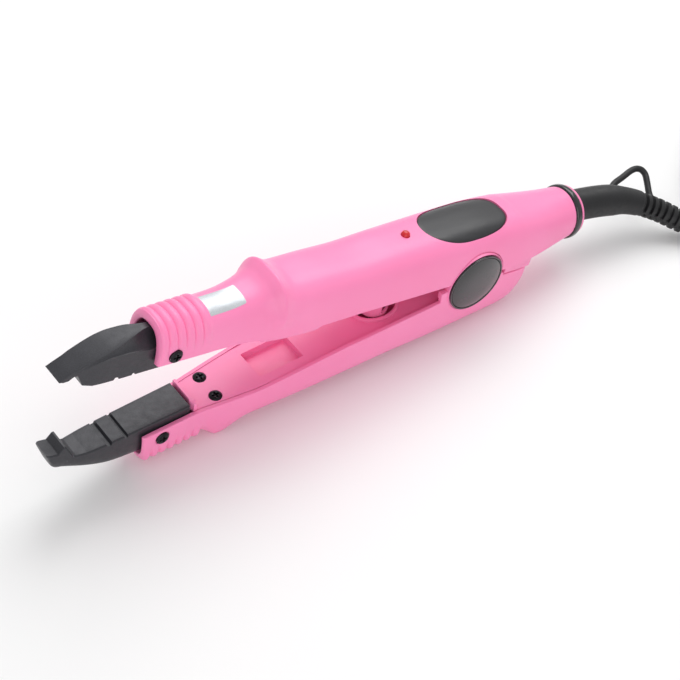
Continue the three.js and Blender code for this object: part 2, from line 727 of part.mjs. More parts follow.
function upperShell() {
  const outer = toManifold(skin(upperStations().map(upperRing)));
  const cavity = upperRoom(0);
  const boreEnds = [BARREL_FRONT_X - OVERRUN, CAVITY_FRONT_X + OVERRUN];
  const bore = toManifold(skin(boreEnds.map((x) => archRing(x, BARREL_BORE_HALF,
    BARREL_BORE_TOP_Z, BORE_SQUARENESS, 0, 1, SECTION_STEPS))));
  const cutOuts = [1, -1].map((side) => cylinderY(EAR_RADIUS + FIT_GAP,
    side * (CHEEK_OUTER_Y + FIT_GAP / 2), side * (HALF_WIDTH + LIP_ROUND), PIVOT_X, PIVOT_Z));
  const shell = cutAll(sum([outer, skirt(1), skirt(-1)]), [
    cavity, bore, ...cutOuts, ...jawScrewCuts(JAW_SCREW_HEAD_Y, JAW_SCREW_Z),
    plateOutline(FIT_GAP, PLATE_TOP_Z - PLATE_THICKNESS - FIT_GAP, PLATE_TOP_Z + 2 * OVERRUN),
    cylinderZ(LED_RADIUS + FIT_GAP / 2, BOARD_Z, UPPER_EDGE_Z + UPPER_HEIGHT, LED_X, 0, LED_STEPS),
    cylinderX(CHANNEL_RADIUS, CAVITY_END_X - OVERRUN, ARM_LENGTH + OVERRUN, 0, TAIL_AXIS_Z),
    stickerSolid(FIT_GAP / 2, FIT_GAP),
  ]);
  const pinWay = cylinderY(PIN_RADIUS + FIT_GAP, -HALF_WIDTH, HALF_WIDTH, PIVOT_X, PIVOT_Z);
  return sum([shell, pivotCheek(1), pivotCheek(-1)]).subtract(pinWay);
}

// A thin label that follows the waist; its place is bare.

function stickerSolid(grow, sink) {
  const rings = stationsBetween(STICKER_FROM_X - grow, STICKER_TO_X + grow, STICKER_STATIONS).map((x) => {
    const [a, b, p] = upperSize(x);
    const outer = [];
    const inner = [];
    stationsBetween(STICKER_NEAR_Y - grow, STICKER_FAR_Y + grow, 2 * STICKER_STATIONS).forEach((y) => {
      const z = UPPER_EDGE_Z + b * (1 - Math.abs(y / a) ** p) ** (1 / p);
      outer.push([x, y, z + grow]);
      inner.unshift([x, y, z - STICKER_THICKNESS - sink]);
    });
    return [...outer, ...inner];
  });
  return toManifold(skin(rings));
}

// Upper inner cover with the hollow spring post

function upperInnerCover() {
  const plate = upperRoom(FIT_GAP).intersect(box(COVER_FRONT_X, UPPER_COVER_REAR_X, -HALF_WIDTH,
    HALF_WIDTH, UPPER_EDGE_Z + FIT_GAP, UPPER_EDGE_Z + FIT_GAP + COVER_THICKNESS));
  const post = cylinderZ(POST_RADIUS, POST_TIP_Z, UPPER_EDGE_Z + OVERRUN, POST_X, 0, FINE_STEPS);
  const postBore = cylinderZ(POST_BORE, POST_TIP_Z - OVERRUN,
    UPPER_EDGE_Z + FIT_GAP + COVER_THICKNESS + OVERRUN, POST_X, 0, FINE_STEPS);
  const slot = box(POST_BORE - OVERRUN, POST_RADIUS + OVERRUN, -POST_SLOT / 2, POST_SLOT / 2,
    POST_TIP_Z + WALL, UPPER_EDGE_Z - FIT_GAP).rotate([0, 0, POST_SLOT_DEGREES])
    .translate([POST_X, 0, 0]);
  const screwHoles = [1, -1].map((side) => cylinderZ(SCREW_SHANK_RADIUS + FIT_GAP, 0,
    BOARD_Z, COVER_SCREW_X, side * COVER_SCREW_Y, HOLE_STEPS));
  return cutAll(plate.add(post), [postBore, slot, ...screwHoles]);
}

// Spring seat: the disc that closes the post inside the upper arm
function springSeat() {
  const seatZ = UPPER_EDGE_Z + FIT_GAP + COVER_THICKNESS + FIT_GAP;
  return cylinderZ(POST_RADIUS, seatZ, seatZ + COVER_THICKNESS, POST_X, 0, FINE_STEPS);
}

// Jaws

// Half width of both jaws along their length, as shares of the rear place and the rear half width.
const jawWidthShares = [
  [-0.03, 0.6],
  [0, 0.65],
  [0.1, 0.66],
  [0.25, 0.84],
  [0.38, 0.9],
  [0.52, 0.93],
  [1, 1],
];

function jawHalf(x) {
  return JAW_REAR_HALF * readTable(jawWidthShares, x / JAW_REAR_X)[0];
}

// Top of the spoon-like nose of the upper jaw: along the arm and up, as shares of the jaw height.
const spoonShares = [
  [2.055, 1.07],
  [1.79, 0.965],
  [1.5, 0.87],
  [1.05, 0.726],
  [0.473, 0.53],
];
const jawStationShares = [0, 0.04, 0.1, 0.16, 0.23, 0.31, 0.39, 0.47, 0.55, 0.64, 0.8];

function grooveTools(side) {
  return GROOVE_PLACES.map((x) => sidePlate([
    [x - GROOVE_HALF, -side * OVERRUN],
    [x + GROOVE_HALF, -side * OVERRUN],
    [x + GROOVE_HALF / 2, side * (GROOVE_DEPTH + JAW_CLEARANCE)],
    [x - GROOVE_HALF / 2, side * (GROOVE_DEPTH + JAW_CLEARANCE)],
  ], -HALF_WIDTH, HALF_WIDTH));
}

// The heater's bore in a jaw, and the ways that its two screws run into.
function jawBores(z) {
  const ways = [1, -1].map((side) => cylinderY(SCREW_SHANK_RADIUS + FIT_GAP,
    side * (JAW_BORE_RADIUS + OVERRUN), side * HALF_WIDTH, JAW_SCREW_X, z, HOLE_STEPS));
  return [cylinderX(JAW_BORE_RADIUS, HEATER_FRONT_X - FIT_GAP, HEATER_REAR_X, 0, z), ...ways];
}

function upperJaw() {
  const stations = [...jawStationShares.map((share) => share * JAW_REAR_X), JAW_REAR_X + WALL];
  const rod = toManifold(skin(stations.map((x) => (
    archRing(x, jawHalf(x), JAW_HEIGHT, BORE_SQUARENESS, 0, 1, SECTION_STEPS)))));
  const spoon = spoonShares.map(([along, up]) => [along * JAW_HEIGHT, up * JAW_HEIGHT]);
  const side = sidePlate([
    [0, NOSE_Z],
    [NOSE_FOOT_X, NOSE_FOOT_Z],
    [NOTCH_FROM_X, NOSE_FOOT_Z],
    [NOTCH_X, NOTCH_Z],
    [NOTCH_TO_X, NOTCH_Z],
    [MAIN_FOOT_X, MAIN_FOOT_Z],
    [FLAT_FROM_X, JAW_CLEARANCE],
    [JAW_REAR_X, JAW_CLEARANCE],
    [JAW_REAR_X, JAW_HEIGHT + OVERRUN],
    ...spoon,
  ], -HALF_WIDTH, HALF_WIDTH);
  return cutAll(rod.intersect(side), [...jawBores(JAW_SCREW_Z), ...grooveTools(1)]);
}

// Bottom of the lower jaw along its length, as shares of the rear place and of the jaw height.
const hullShares = [
  [-0.025, -0.3],
  [0.015, 0.13],
  [0.08, 0.3],
  [0.24, 0.6],
  [0.4, 0.84],
  [0.58, 0.95],
  [0.7, 1],
  [1.05, 1],
];

function lowerJaw() {
  const stations = [TIP_X, ...jawStationShares.map((share) => share * JAW_REAR_X), JAW_REAR_X];
  const hull = toManifold(skin(stations.map((x) => {
    const depth = readTable(hullShares, x / JAW_REAR_X)[0] * JAW_HEIGHT;
    return archRing(x, jawHalf(x), HULL_TOP_Z + depth, JAW_SQUARENESS, HULL_TOP_Z, -1, SECTION_STEPS);
  })));
  const rearX = JAW_REAR_X - OVERRUN;
  const side = sidePlate([
    [TIP_X, TIP_TOP_Z],
    [TIP_X - OVERRUN, -JAW_HEIGHT - OVERRUN],
    [rearX, -JAW_HEIGHT - OVERRUN],
    [rearX, -JAW_CLEARANCE],
    [FLAT_FROM_X + LOWER_FLAT_Z, -JAW_CLEARANCE],
    [LOWER_FLAT_X, LOWER_FLAT_Z],
    [SLOPE_FOOT_X, SLOPE_FOOT_Z],
    [SLOPE_X, SLOPE_Z],
    [RIDGE_X + RIDGE_CROWN, RIDGE_TOP_Z],
    [RIDGE_X, RIDGE_TOP_Z],
    [RIDGE_FOOT_X, RIDGE_FOOT_Z],
  ], -HALF_WIDTH, HALF_WIDTH);
  return cutAll(hull.intersect(side), [...jawBores(-JAW_SCREW_Z), ...grooveTools(-1)]);
}

// Heaters and their leads
function heater(side) {
  const radius = JAW_BORE_RADIUS - HEATER_CLEARANCE;
  return cylinderX(radius, HEATER_FRONT_X, HEATER_REAR_X, 0, side * JAW_SCREW_Z);
}

function leadTube(route) {
  const curve = new THREE.CatmullRomCurve3(route.map((p) => new THREE.Vector3(...p)));
  return sweptTube(curve.getPoints(LEAD_STEPS), () => LEAD_RADIUS, LEAD_SIDES);
}

// Screws

// Half section of a pan head, as shares of its radius and height.
const panHeadShares = [
  [0, 0],
  [1, 0],
  [1, 0.5],
  [0.8, 0.9],
  [0, 1],
];

// A half section given as shares, drawn out to a radius and a height.
function profileOf(shares, radius, height) {
  return shares.map(([r, h]) => new THREE.Vector2(r * radius, h * height));
}

// A pan head screw along +Y at the origin, its head's back on y = 0, with a cross in the head.
function panScrew(shankLength) {
  const headProfile = profileOf(panHeadShares, SCREW_HEAD_RADIUS, SCREW_HEAD_HEIGHT);
  const head = toManifold(new THREE.LatheGeometry(headProfile, SMALL_STEPS));
  const shank = cylinderY(SCREW_SHANK_RADIUS, -shankLength, FIT_GAP, 0, 0, SHANK_STEPS);
  const low = SCREW_HEAD_HEIGHT - SCREW_RECESS;
  const high = SCREW_HEAD_HEIGHT + OVERRUN;
  const half = SCREW_SLOT_WIDTH / 2;
  const reach = SCREW_SLOT_LENGTH / 2;
  const cross = box(-half, half, low, high, -reach, reach).add(box(-reach, reach, low, high, -half, half));
  return toGeometry(head.add(shank).subtract(cross));
}

function addJawScrew(group, name, side, headY, z) {
  const screw = piece(group, name, panScrew(headY - JAW_SHANK_TIP_Y), BLACK_STEEL);
  screw.position.set(JAW_SCREW_X, side * headY, z);
  if (side < 0) screw.rotation.x = Math.PI;
}

// Lower shell

// Place along the arm, half width and depth, each as a share of the driving size, and squareness.
const lowerOutlineShares = [
  [0.145, 0.555, 0.74, 3],
  [0.156, 0.58, 0.8, 3],
  [0.24, 0.59, 0.805, 3],
  [0.257, 0.61, 0.8, 3.2],
  [0.268, 0.635, 0.88, 3.6],
  [0.281, 0.66, 1.01, 4],
  [0.294, 0.69, 1, 4],
  [0.311, 0.725, 0.9, 4.2],
  [0.332, 0.765, 0.795, 4.5],
  [0.36, 0.81, 0.78, 4.5],
  [0.413, 0.855, 0.8, 4.5],
  [0.47, 0.895, 0.81, 4.5],
  [0.54, 0.94, 0.82, 4.5],
  [0.605, 0.96, 0.845, 4.5],
  [0.674, 0.98, 0.9, 4.5],
  [0.743, 0.985, 0.94, 4.5],
  [0.82, 0.985, 0.98, 4.5],
  [0.85, 0.975, 0.997, 4.2],
  [0.868, 0.955, 0.93, 4],
  [0.882, 0.92, 0.76, 3.6],
  [0.889, 0.87, 0.55, 3.2],
];

function lowerSize(x) {
  const [width, depth, squareness] = readTable(lowerOutlineShares, x / ARM_LENGTH);
  const swell = ribSwell(x, LOWER_FIRST_RIB_X, RIB_PITCH, LOWER_RIB_COUNT);
  return [width * HALF_WIDTH, depth * LOWER_DEPTH + swell, squareness];
}

function ear(side) {
  const yFrom = Math.min(side * EAR_INNER_Y, side * EAR_FACE_Y);
  const yTo = Math.max(side * EAR_INNER_Y, side * EAR_FACE_Y);
  const flange = cylinderY(EAR_RADIUS, yFrom, yTo, PIVOT_X, PIVOT_Z);
  const blockFace = side * lowerSize(PIVOT_X)[0];
  const block = box(EAR_FRONT_X, PIVOT_X, Math.min(blockFace, side * EAR_INNER_Y),
    Math.max(blockFace, side * EAR_INNER_Y), LOWER_EDGE_Z - WALL, EAR_TOP_Z);
  return flange.add(block);
}

function capSeat(side) {
  return cylinderY(CAP_RADIUS + FIT_GAP, side * (EAR_FACE_Y - CAP_SEAT_DEPTH),
    side * (EAR_FACE_Y + OVERRUN), PIVOT_X, PIVOT_Z);
}

// The hollow of the lower shell, drawn in all round by an inset.
function lowerRoom(inset) {
  return toManifold(skin(stationsBetween(JAW_REAR_X, CAVITY_END_X, ROOM_STATIONS).map((x) => {
    const [a, b, p] = lowerSize(x);
    const deep = Math.min(b, LOWER_DEPTH * ROOM_DEPTH_SHARE) - WALL + OVERRUN - inset;
    return archRing(x, a - LOWER_WALL - inset, deep, p, OVERRUN, -1, INNER_STEPS);
  })));
}

function lowerStations() {
  const ribs = stationsBetween(LOWER_FIRST_RIB_X - RIB_PITCH / 2,
    LOWER_FIRST_RIB_X + RIB_PITCH * (LOWER_RIB_COUNT - 0.5), LOWER_RIB_COUNT * RIB_STEPS);
  const stop = stationsBetween(STOP_FROM_X, STOP_TO_X, STOP_STATIONS);
  const body = stationsBetween(STOP_TO_X, LOWER_BODY_TO_X, LOWER_BODY_STATIONS).slice(1, -1);
  const heel = stationsBetween(LOWER_BODY_TO_X, LOWER_REAR_X, HEEL_STATIONS);
  return [LOWER_FRONT_X, ...ribs, ...stop, ...body, ...heel];
}

// What the lower shell's outline loses in front, behind and to the table.
function lowerTrims() {
  const frontEdge = sidePlate([
    [0, FRONT_EDGE_Z],
    [EDGE_RISE_FROM_X, FRONT_EDGE_Z],
    [EDGE_RISE_TO_X, LOWER_EDGE_Z],
    [EDGE_RISE_TO_X, LOWER_EDGE_Z + OVERRUN],
    [0, LOWER_EDGE_Z + OVERRUN],
  ], -HALF_WIDTH - OVERRUN, HALF_WIDTH + OVERRUN);
  const rearSlope = sidePlate([
    [REAR_SLOPE_X, REAR_SLOPE_Z],
    [REAR_SLOPE_X, HALF_WIDTH],
    [LOWER_REAR_X + OVERRUN, HALF_WIDTH],
    [LOWER_REAR_X + OVERRUN, REAR_SLOPE_Z - REAR_SLOPE_DROP],
  ], -HALF_WIDTH - OVERRUN, HALF_WIDTH + OVERRUN);
  const floor = box(0, ARM_LENGTH, -HALF_WIDTH, HALF_WIDTH, -LOWER_DEPTH - 2 * OVERRUN, TABLE_Z);
  return [frontEdge, rearSlope, floor];
}

function lowerShell() {
  const outer = toManifold(skin(lowerStations().map((x) => {
    const [a, b, p] = lowerSize(x);
    return archRing(x, a, b + LOWER_EDGE_Z, p, LOWER_EDGE_Z, -1, SECTION_STEPS);
  })));
  const jawRoom = toManifold(skin([LOWER_FRONT_X - OVERRUN, JAW_REAR_X + OVERRUN].map((x) => (
    archRing(x, BARREL_BORE_HALF, BARREL_BORE_TOP_Z + OVERRUN, JAW_SQUARENESS, OVERRUN, -1,
      SECTION_STEPS)))));
  const pinWay = cylinderY(PIN_RADIUS + FIT_GAP, -EAR_FACE_Y - OVERRUN, EAR_FACE_Y + OVERRUN,
    PIVOT_X, PIVOT_Z);
  const shell = cutAll(outer, [jawRoom, lowerRoom(0), ...lowerTrims(),
    ...jawScrewCuts(LOWER_SCREW_HEAD_Y, -JAW_SCREW_Z)]);
  return cutAll(sum([shell, ear(1), ear(-1), springWell()]), [pinWay, capSeat(1), capSeat(-1)]);
}

function springWell() {
  return ovalColumn(POST_BORE, POST_BORE, WELL_FLOOR_Z - WELL_FLOOR_THICKNESS, WELL_FLOOR_Z,
    WELL_X, FINE_STEPS);
}

// Lower inner cover with its pocket and the well's raised rim

function lowerInnerCover() {
  const room = lowerRoom(FIT_GAP);
  const plate = room.intersect(box(LOWER_COVER_FRONT_X, LOWER_COVER_REAR_X, -HALF_WIDTH, HALF_WIDTH,
    LOWER_COVER_Z - LOWER_COVER_THICKNESS, LOWER_COVER_Z));
  const rim = room.intersect(box(LOWER_COVER_FRONT_X, LOWER_COVER_FRONT_X + FRONT_RIM, -HALF_WIDTH,
    HALF_WIDTH, LOWER_COVER_Z - FIT_GAP, -JAW_CLEARANCE));
  const tub = box(POCKET_FROM_X - WALL / 2, POCKET_TO_X + WALL / 2, -POCKET_HALF - WALL / 2,
    POCKET_HALF + WALL / 2, LOWER_COVER_Z - POCKET_DEPTH - WALL / 2, LOWER_COVER_Z - FIT_GAP);
  const pocket = box(POCKET_FROM_X, POCKET_TO_X, -POCKET_HALF, POCKET_HALF,
    LOWER_COVER_Z - POCKET_DEPTH, LOWER_COVER_Z + OVERRUN);
  const collar = ovalColumn(WELL_HALF_LENGTH + WELL_WALL, WELL_HALF_WIDTH + WELL_WALL,
    LOWER_COVER_Z - LOWER_COVER_THICKNESS * 2, LOWER_COVER_Z + WELL_RIM_RISE, WELL_X);
  const mouth = ovalColumn(WELL_HALF_LENGTH, WELL_HALF_WIDTH, WELL_FLOOR_Z, OVERRUN, WELL_X);
  const screwHoles = [1, -1].map((side) => cylinderZ(SCREW_SHANK_RADIUS + FIT_GAP, -BOARD_Z,
    OVERRUN, COVER_SCREW_X, side * COVER_SCREW_Y, HOLE_STEPS));
  const screwSeats = [1, -1].map((side) => cylinderZ(SCREW_HEAD_RADIUS + FIT_GAP,
    LOWER_COVER_Z - SCREW_HEAD_HEIGHT / 2 - FIT_GAP, OVERRUN, COVER_SCREW_X,
    side * COVER_SCREW_Y, FINE_STEPS));
  return cutAll(sum([plate, rim, tub, collar]), [pocket, mouth, ...screwHoles, ...screwSeats]);
}

// Caps over the pivot. The dome above a cap's edge is given as shares of its radius and rise.
const capDomeShares = [
  [0.96, 0],
  [0.7, 0.55],
  [0.35, 0.9],
  [0, 1],
];

function pivotCap(side) {
  const rim = [
    [0, -CAP_EDGE / 2],
    [CAP_RADIUS - FIT_GAP, -CAP_EDGE / 2],
    [CAP_RADIUS, 0],
    [CAP_RADIUS, CAP_EDGE / 2],
  ].map(([r, h]) => new THREE.Vector2(r, h));
  const dome = profileOf(capDomeShares, CAP_RADIUS, CAP_DOME);
  dome.forEach((point) => point.setY(point.y + CAP_EDGE));
  const profile = [...rim, ...dome];
  const geometry = new THREE.LatheGeometry(profile, ROUND_STEPS);
  if (side < 0) geometry.rotateX(Math.PI);
  return geometry;
}

// Return spring: an open helix with one flat-running curl at each end, drawn upright.
function returnSpring(fromZ, toZ) {
  const points = [];
  const steps = SPRING_CURLS * SPRING_CURL_STEPS;
  for (let i = 0; i <= steps; i += 1) {
    const turn = (i / SPRING_CURL_STEPS) * 2 * Math.PI;
    const share = i / steps;
    const z = fromZ + SPRING_WIRE_RADIUS + share * (toZ - fromZ - 2 * SPRING_WIRE_RADIUS);
    points.push(new THREE.Vector3(SPRING_X + SPRING_MEAN_RADIUS * Math.cos(turn),
      SPRING_MEAN_RADIUS * Math.sin(turn), z));
  }
  return sweptTube(points, () => SPRING_WIRE_RADIUS, SPRING_SIDES);
}

// Collar, end ring and boot

function ringX(xFrom, xTo, radius, bore, round, steps = ROUND_STEPS) {
  const profile = [
    [bore, 0],
    [radius - round, 0],
    [radius, round],
    [radius, xTo - xFrom - round],
    [radius - round, xTo - xFrom],
    [bore, xTo - xFrom],
    [bore, 0],
  ].map(([r, h]) => new THREE.Vector2(r, h));
  const geometry = new THREE.LatheGeometry(profile, steps);
  geometry.rotateZ(-Math.PI / 2);
  geometry.translate(xFrom, 0, TAIL_AXIS_Z);
  return geometry;
}

// Place of a point of the shut upper arm once the arm is turned open, from the table up.
function opened(x, y, z) {
  const dx = x - PIVOT_X;
  const dz = z - PIVOT_Z;
  return new THREE.Vector3(
    PIVOT_X + dx * Math.cos(OPEN_ANGLE) + dz * Math.sin(OPEN_ANGLE) - MIDDLE_X, y,
    PIVOT_Z - dx * Math.sin(OPEN_ANGLE) + dz * Math.cos(OPEN_ANGLE) - TABLE_Z);
}

// The boot's bend, from the tail to its end on the table, chosen by hand in the object's frame.
const bootRoute = [
  [130.8, -3, 15.8],
  [140.2, -6.4, 14],
  [149.4, -12, 11],
  [157, -19.6, 8.4],
  [163.5, -28, 6.6],
  [170, -36.4, 5.3],
  [176, -44, 4.2],
];

function bootPath() {
  const start = opened(END_RING_FROM_X + FIT_GAP, 0, TAIL_AXIS_Z + BOOT_RISE);
  const next = opened(END_RING_FROM_X + FIT_GAP + ELBOW_RADIUS, 0, TAIL_AXIS_Z + BOOT_RISE);
  return new THREE.CatmullRomCurve3([start, next,
    ...bootRoute.map((p) => new THREE.Vector3(...p))], false, 'centripetal');
}

function cordBoot() {
  const curve = bootPath();
  const points = curve.getSpacedPoints(BOOT_STEPS);
  const radiusAt = (share) => {
    if (share < BOOT_RIB_FROM_SHARE) {
      const flare = Math.max(0, 1 - share / BOOT_FLARE_SHARE);
      return ELBOW_RADIUS + (BOOT_FLARE - ELBOW_RADIUS) * flare * flare;
    }
    const along = (share - BOOT_RIB_FROM_SHARE) / (1 - BOOT_RIB_FROM_SHARE);
    const body = BOOT_RIB_RADIUS + (BOOT_END_RADIUS - BOOT_RIB_RADIUS) * along;
    return body - BOOT_RIB_DEPTH * (0.5 - 0.5 * Math.cos(2 * Math.PI * BOOT_RIBS * along));
  };
  return sweptTube(points, radiusAt, BOOT_SIDES);
}

// Hang loop: a bent rod whose two feet stand on the outer side of the boot.

function hangLoop() {
  const curve = bootPath();
  const radii = [ELBOW_RADIUS, BOOT_RIB_RADIUS];
  const feet = LOOP_FEET_SHARES.map((share, i) => {
    const along = curve.getTangentAt(share);
    const outward = new THREE.Vector3(-along.y, along.x, 0).normalize();
    const place = curve.getPointAt(share).addScaledVector(outward, radii[i] + 2 * FIT_GAP);
    return { place, outward, risen: place.clone().addScaledVector(outward, LOOP_ROD_RADIUS) };
  });
  const apex = feet[0].place.clone().lerp(feet[1].place, LOOP_APEX_SHARE)
    .addScaledVector(feet[1].outward, LOOP_REACH).add(new THREE.Vector3(0, 0, LOOP_RISE));
  const bend = new THREE.CatmullRomCurve3([
    feet[0].place,
    feet[0].risen,
    feet[0].place.clone().lerp(apex, 0.5),
    apex.clone().lerp(feet[0].place, LOOP_BEND_SHARE),
    apex,
    apex.clone().lerp(feet[1].place, 2 * LOOP_BEND_SHARE),
    feet[1].risen,
    feet[1].place,
  ], false, 'centripetal');
  return sweptTube(bend.getPoints(HANG_LOOP_STEPS), () => LOOP_ROD_RADIUS, HANG_LOOP_SIDES);
}

// Mains cord on the table: free stretch, coil and plug

const eased = (share) => share * share * (3 - 2 * share);

// Point at an angle and a distance from a middle, on level z.
function aroundMiddle(middle, angle, radius, z) {
  return new THREE.Vector3(middle.x + radius * Math.cos(angle), middle.y + radius * Math.sin(angle), z);
}

// The coil starts where the boot points: turns inwards on the table, half a turn that climbs,
// turns back out on top of them, and half a turn that climbs again.
function coilTurns(middle, startAngle) {
  const outer = COIL_MEAN_RADIUS + (COIL_PITCH * COIL_TURNS) / 2;
  const inner = outer - COIL_PITCH * COIL_TURNS;
  const points = [];
  const add = (turns, radius, z) => {
    points.push(aroundMiddle(middle, startAngle + turns * 2 * Math.PI, radius, z));
  };
  const layer = (fromTurn, fromRadius, pitch, z) => {
    for (let i = points.length ? 1 : 0; i <= COIL_TURNS * LOOP_STEPS; i += 1) {
      add(fromTurn + i / LOOP_STEPS, fromRadius + (pitch * i) / LOOP_STEPS, z);
    }
  };
  const climb = (fromTurn, radius, bulge, z) => {
    for (let i = 1; i <= LOOP_STEPS / 2; i += 1) {
      const share = (2 * i) / LOOP_STEPS;
      add(fromTurn + i / LOOP_STEPS, radius + bulge * Math.sin(Math.PI * share),
        z + COIL_PITCH * eased(share));
    }
  };
  layer(0, outer, -COIL_PITCH, CORD_Z);
  climb(COIL_TURNS, inner, -COIL_CLIMB_DIP, CORD_Z);
  layer(COIL_TURNS + 1 / 2, inner, COIL_PITCH, CORD_Z + COIL_PITCH);
  climb(2 * COIL_TURNS + 1 / 2, outer, COIL_CLIMB_DIP, CORD_Z + COIL_PITCH);
  return points;
}

// The whole coil: a straight lead in, the turns, and a quarter bend to the plug that lies on top.
function coilLine(bootEnd, bootAlong) {
  const heading = bootAlong.clone().setZ(0).normalize();
  const first = bootEnd.clone().addScaledVector(heading, COIL_RUN).setZ(CORD_Z);
  const startAngle = Math.atan2(heading.y, heading.x) - Math.PI / 2;
  const outer = COIL_MEAN_RADIUS + (COIL_PITCH * COIL_TURNS) / 2;
  const middle = aroundMiddle(first, startAngle, -outer, 0);
  const points = coilTurns(middle, startAngle);
  const top = points[points.length - 1].z;
  const plugZ = CORD_Z + COIL_PITCH + CORD_RADIUS + FIT_GAP + PLUG_HALF_HEIGHT;
  const bendMiddle = aroundMiddle(middle, startAngle, outer - TAIL_BEND, 0);
  for (let i = 1; i <= TAIL_STEPS; i += 1) {
    const share = i / TAIL_STEPS;
    points.push(aroundMiddle(bendMiddle, startAngle + (share * Math.PI) / 2, TAIL_BEND,
      top + (plugZ - top) * eased(share)));
  }
  const outward = aroundMiddle(points[points.length - 1], startAngle + Math.PI, COIL_LEAD, plugZ);
  const lead = first.clone().addScaledVector(heading, -COIL_LEAD);
  return { middle, startAngle, points: [lead, ...points, outward] };
}

// A tie round the bundle of turns: a flat strap, bent to a rounded frame that stands across them.

function cordTie() {
  const halfLength = (COIL_PITCH * COIL_TURNS) / 2 + CORD_RADIUS + 2 * FIT_GAP;
  const bottom = CORD_Z - CORD_RADIUS - FIT_GAP;
  const top = CORD_Z + COIL_PITCH + CORD_RADIUS + FIT_GAP;
  const frame = roundedFrame(halfLength + TIE_THICKNESS, bottom - TIE_THICKNESS, top + TIE_THICKNESS,
    TIE_CORNER + TIE_THICKNESS);
  frame.holes.push(roundedFrame(halfLength, bottom, top, TIE_CORNER));
  const geometry = new THREE.ExtrudeGeometry(frame, { depth: TIE_WIDTH, bevelEnabled: false,
    curveSegments: 5 });
  geometry.translate(0, 0, -TIE_WIDTH / 2);
  geometry.rotateX(Math.PI / 2);
  return toGeometry(toManifold(geometry));
}

function roundedFrame(half, bottom, top, corner) {
  const shape = new THREE.Shape();
  shape.moveTo(-half + corner, bottom);
  shape.lineTo(half - corner, bottom);
  shape.absarc(half - corner, bottom + corner, corner, -Math.PI / 2, 0, false);
  shape.lineTo(half, top - corner);
  shape.absarc(half - corner, top - corner, corner, 0, Math.PI / 2, false);
  shape.lineTo(-half + corner, top);
  shape.absarc(-half + corner, top - corner, corner, Math.PI / 2, Math.PI, false);
  shape.lineTo(-half, bottom + corner);
  shape.absarc(-half + corner, bottom + corner, corner, Math.PI, Math.PI * 1.5, false);
  return shape;
}

function leastSelfGap(points, radius) {
  let least = Infinity;
  const skip = LOOP_STEPS / 2;
  for (let i = 0; i < points.length; i += 1) {
    for (let j = i + skip; j < points.length; j += 1) {
      least = Math.min(least, points[i].distanceTo(points[j]) - 2 * radius);
    }
  }
  return least;
}

function build() {
  const iron = new THREE.Group();
  const upper = new THREE.Group();
  const lower = new THREE.Group();
  [upper, lower].forEach((group) => {
    group.position.set(PIVOT_X - MIDDLE_X, 0, PIVOT_Z - TABLE_Z);
    iron.add(group);
  });
  upper.rotation.y = OPEN_ANGLE;
  const upperShut = new THREE.Group();
  const lowerShut = new THREE.Group();
  [upperShut, lowerShut].forEach((group) => group.position.set(-PIVOT_X, 0, -PIVOT_Z));
  upper.add(upperShut);
  lower.add(lowerShut);

  addUpperArm(upperShut);
  addLowerArm(lowerShut);
  addCord(iron);
  return iron;
}

function addUpperArm(arm) {
  piece(arm, 'upper_shell', upperShell(), PINK);
  piece(arm, 'upper_inner_cover', upperInnerCover(), PINK);
  piece(arm, 'spring_seat', springSeat(), PINK);
  piece(arm, 'upper_jaw', upperJaw(), CHARCOAL);
  piece(arm, 'upper_heater', heater(1), CERAMIC);
  piece(arm, 'upper_heater_lead', leadTube([
    [HEATER_REAR_X + FIT_GAP, 0, JAW_SCREW_Z + LEAD_RADIUS],
    [HEATER_REAR_X + BOARD_Z, 0, BOARD_Z],
    [HEATER_REAR_X + (BOARD_FROM_X - HEATER_REAR_X) * LEAD_BEND_SHARE, -COVER_SCREW_Y, BOARD_Z],
    [BOARD_FROM_X - FIT_GAP, -COVER_SCREW_Y, BOARD_Z + BOARD_THICKNESS / 2],
  ]), LEAD_WHITE);
  addJawScrew(arm, 'upper_jaw_screw_far', 1, JAW_SCREW_HEAD_Y, JAW_SCREW_Z);
  addJawScrew(arm, 'upper_jaw_screw_near', -1, JAW_SCREW_HEAD_Y, JAW_SCREW_Z);
  ['far', 'near'].forEach((where, i) => {
    const screw = piece(arm, `upper_cover_screw_${where}`, panScrew(COVER_SHANK), BLACK_STEEL);
    screw.rotation.x = -Math.PI / 2;
    screw.position.set(COVER_SCREW_X, (i ? -1 : 1) * COVER_SCREW_Y, UPPER_EDGE_Z);
  });
  piece(arm, 'circuit_board', box(BOARD_FROM_X, BOARD_TO_X, -BOARD_HALF, BOARD_HALF,
    BOARD_Z, BOARD_Z + BOARD_THICKNESS), BOARD_GREEN);
  const roofZ = UPPER_EDGE_Z + upperSize(CAPACITOR_X)[1] - TOP_WALL;
  piece(arm, 'board_capacitor', cylinderZ(CAPACITOR_RADIUS, BOARD_Z + BOARD_THICKNESS + FIT_GAP,
    roofZ - CAPACITOR_TOP_ROOM, CAPACITOR_X, 0, LED_STEPS), BLACK_GLOSS);
  piece(arm, 'indicator_led', indicatorLed(), LED_RED);
  piece(arm, 'rating_plate', plateOutline(0, PLATE_TOP_Z - PLATE_THICKNESS, PLATE_TOP_Z), PLATE_BLACK);
  piece(arm, 'bare_sticker', stickerSolid(0, 0), SILVER_LABEL);
  piece(arm, 'tail_collar', ringX(ARM_LENGTH + FIT_GAP, ARM_LENGTH + FIT_GAP + COLLAR_LENGTH,
    COLLAR_RADIUS, CHANNEL_RADIUS, COLLAR_ROUND), BLACK_GLOSS);
  piece(arm, 'tail_end_ring', ringX(END_RING_FROM_X, END_RING_FROM_X + END_RING_LENGTH,
    END_RING_RADIUS, BOOT_BORE, FIT_GAP), PINK);
}

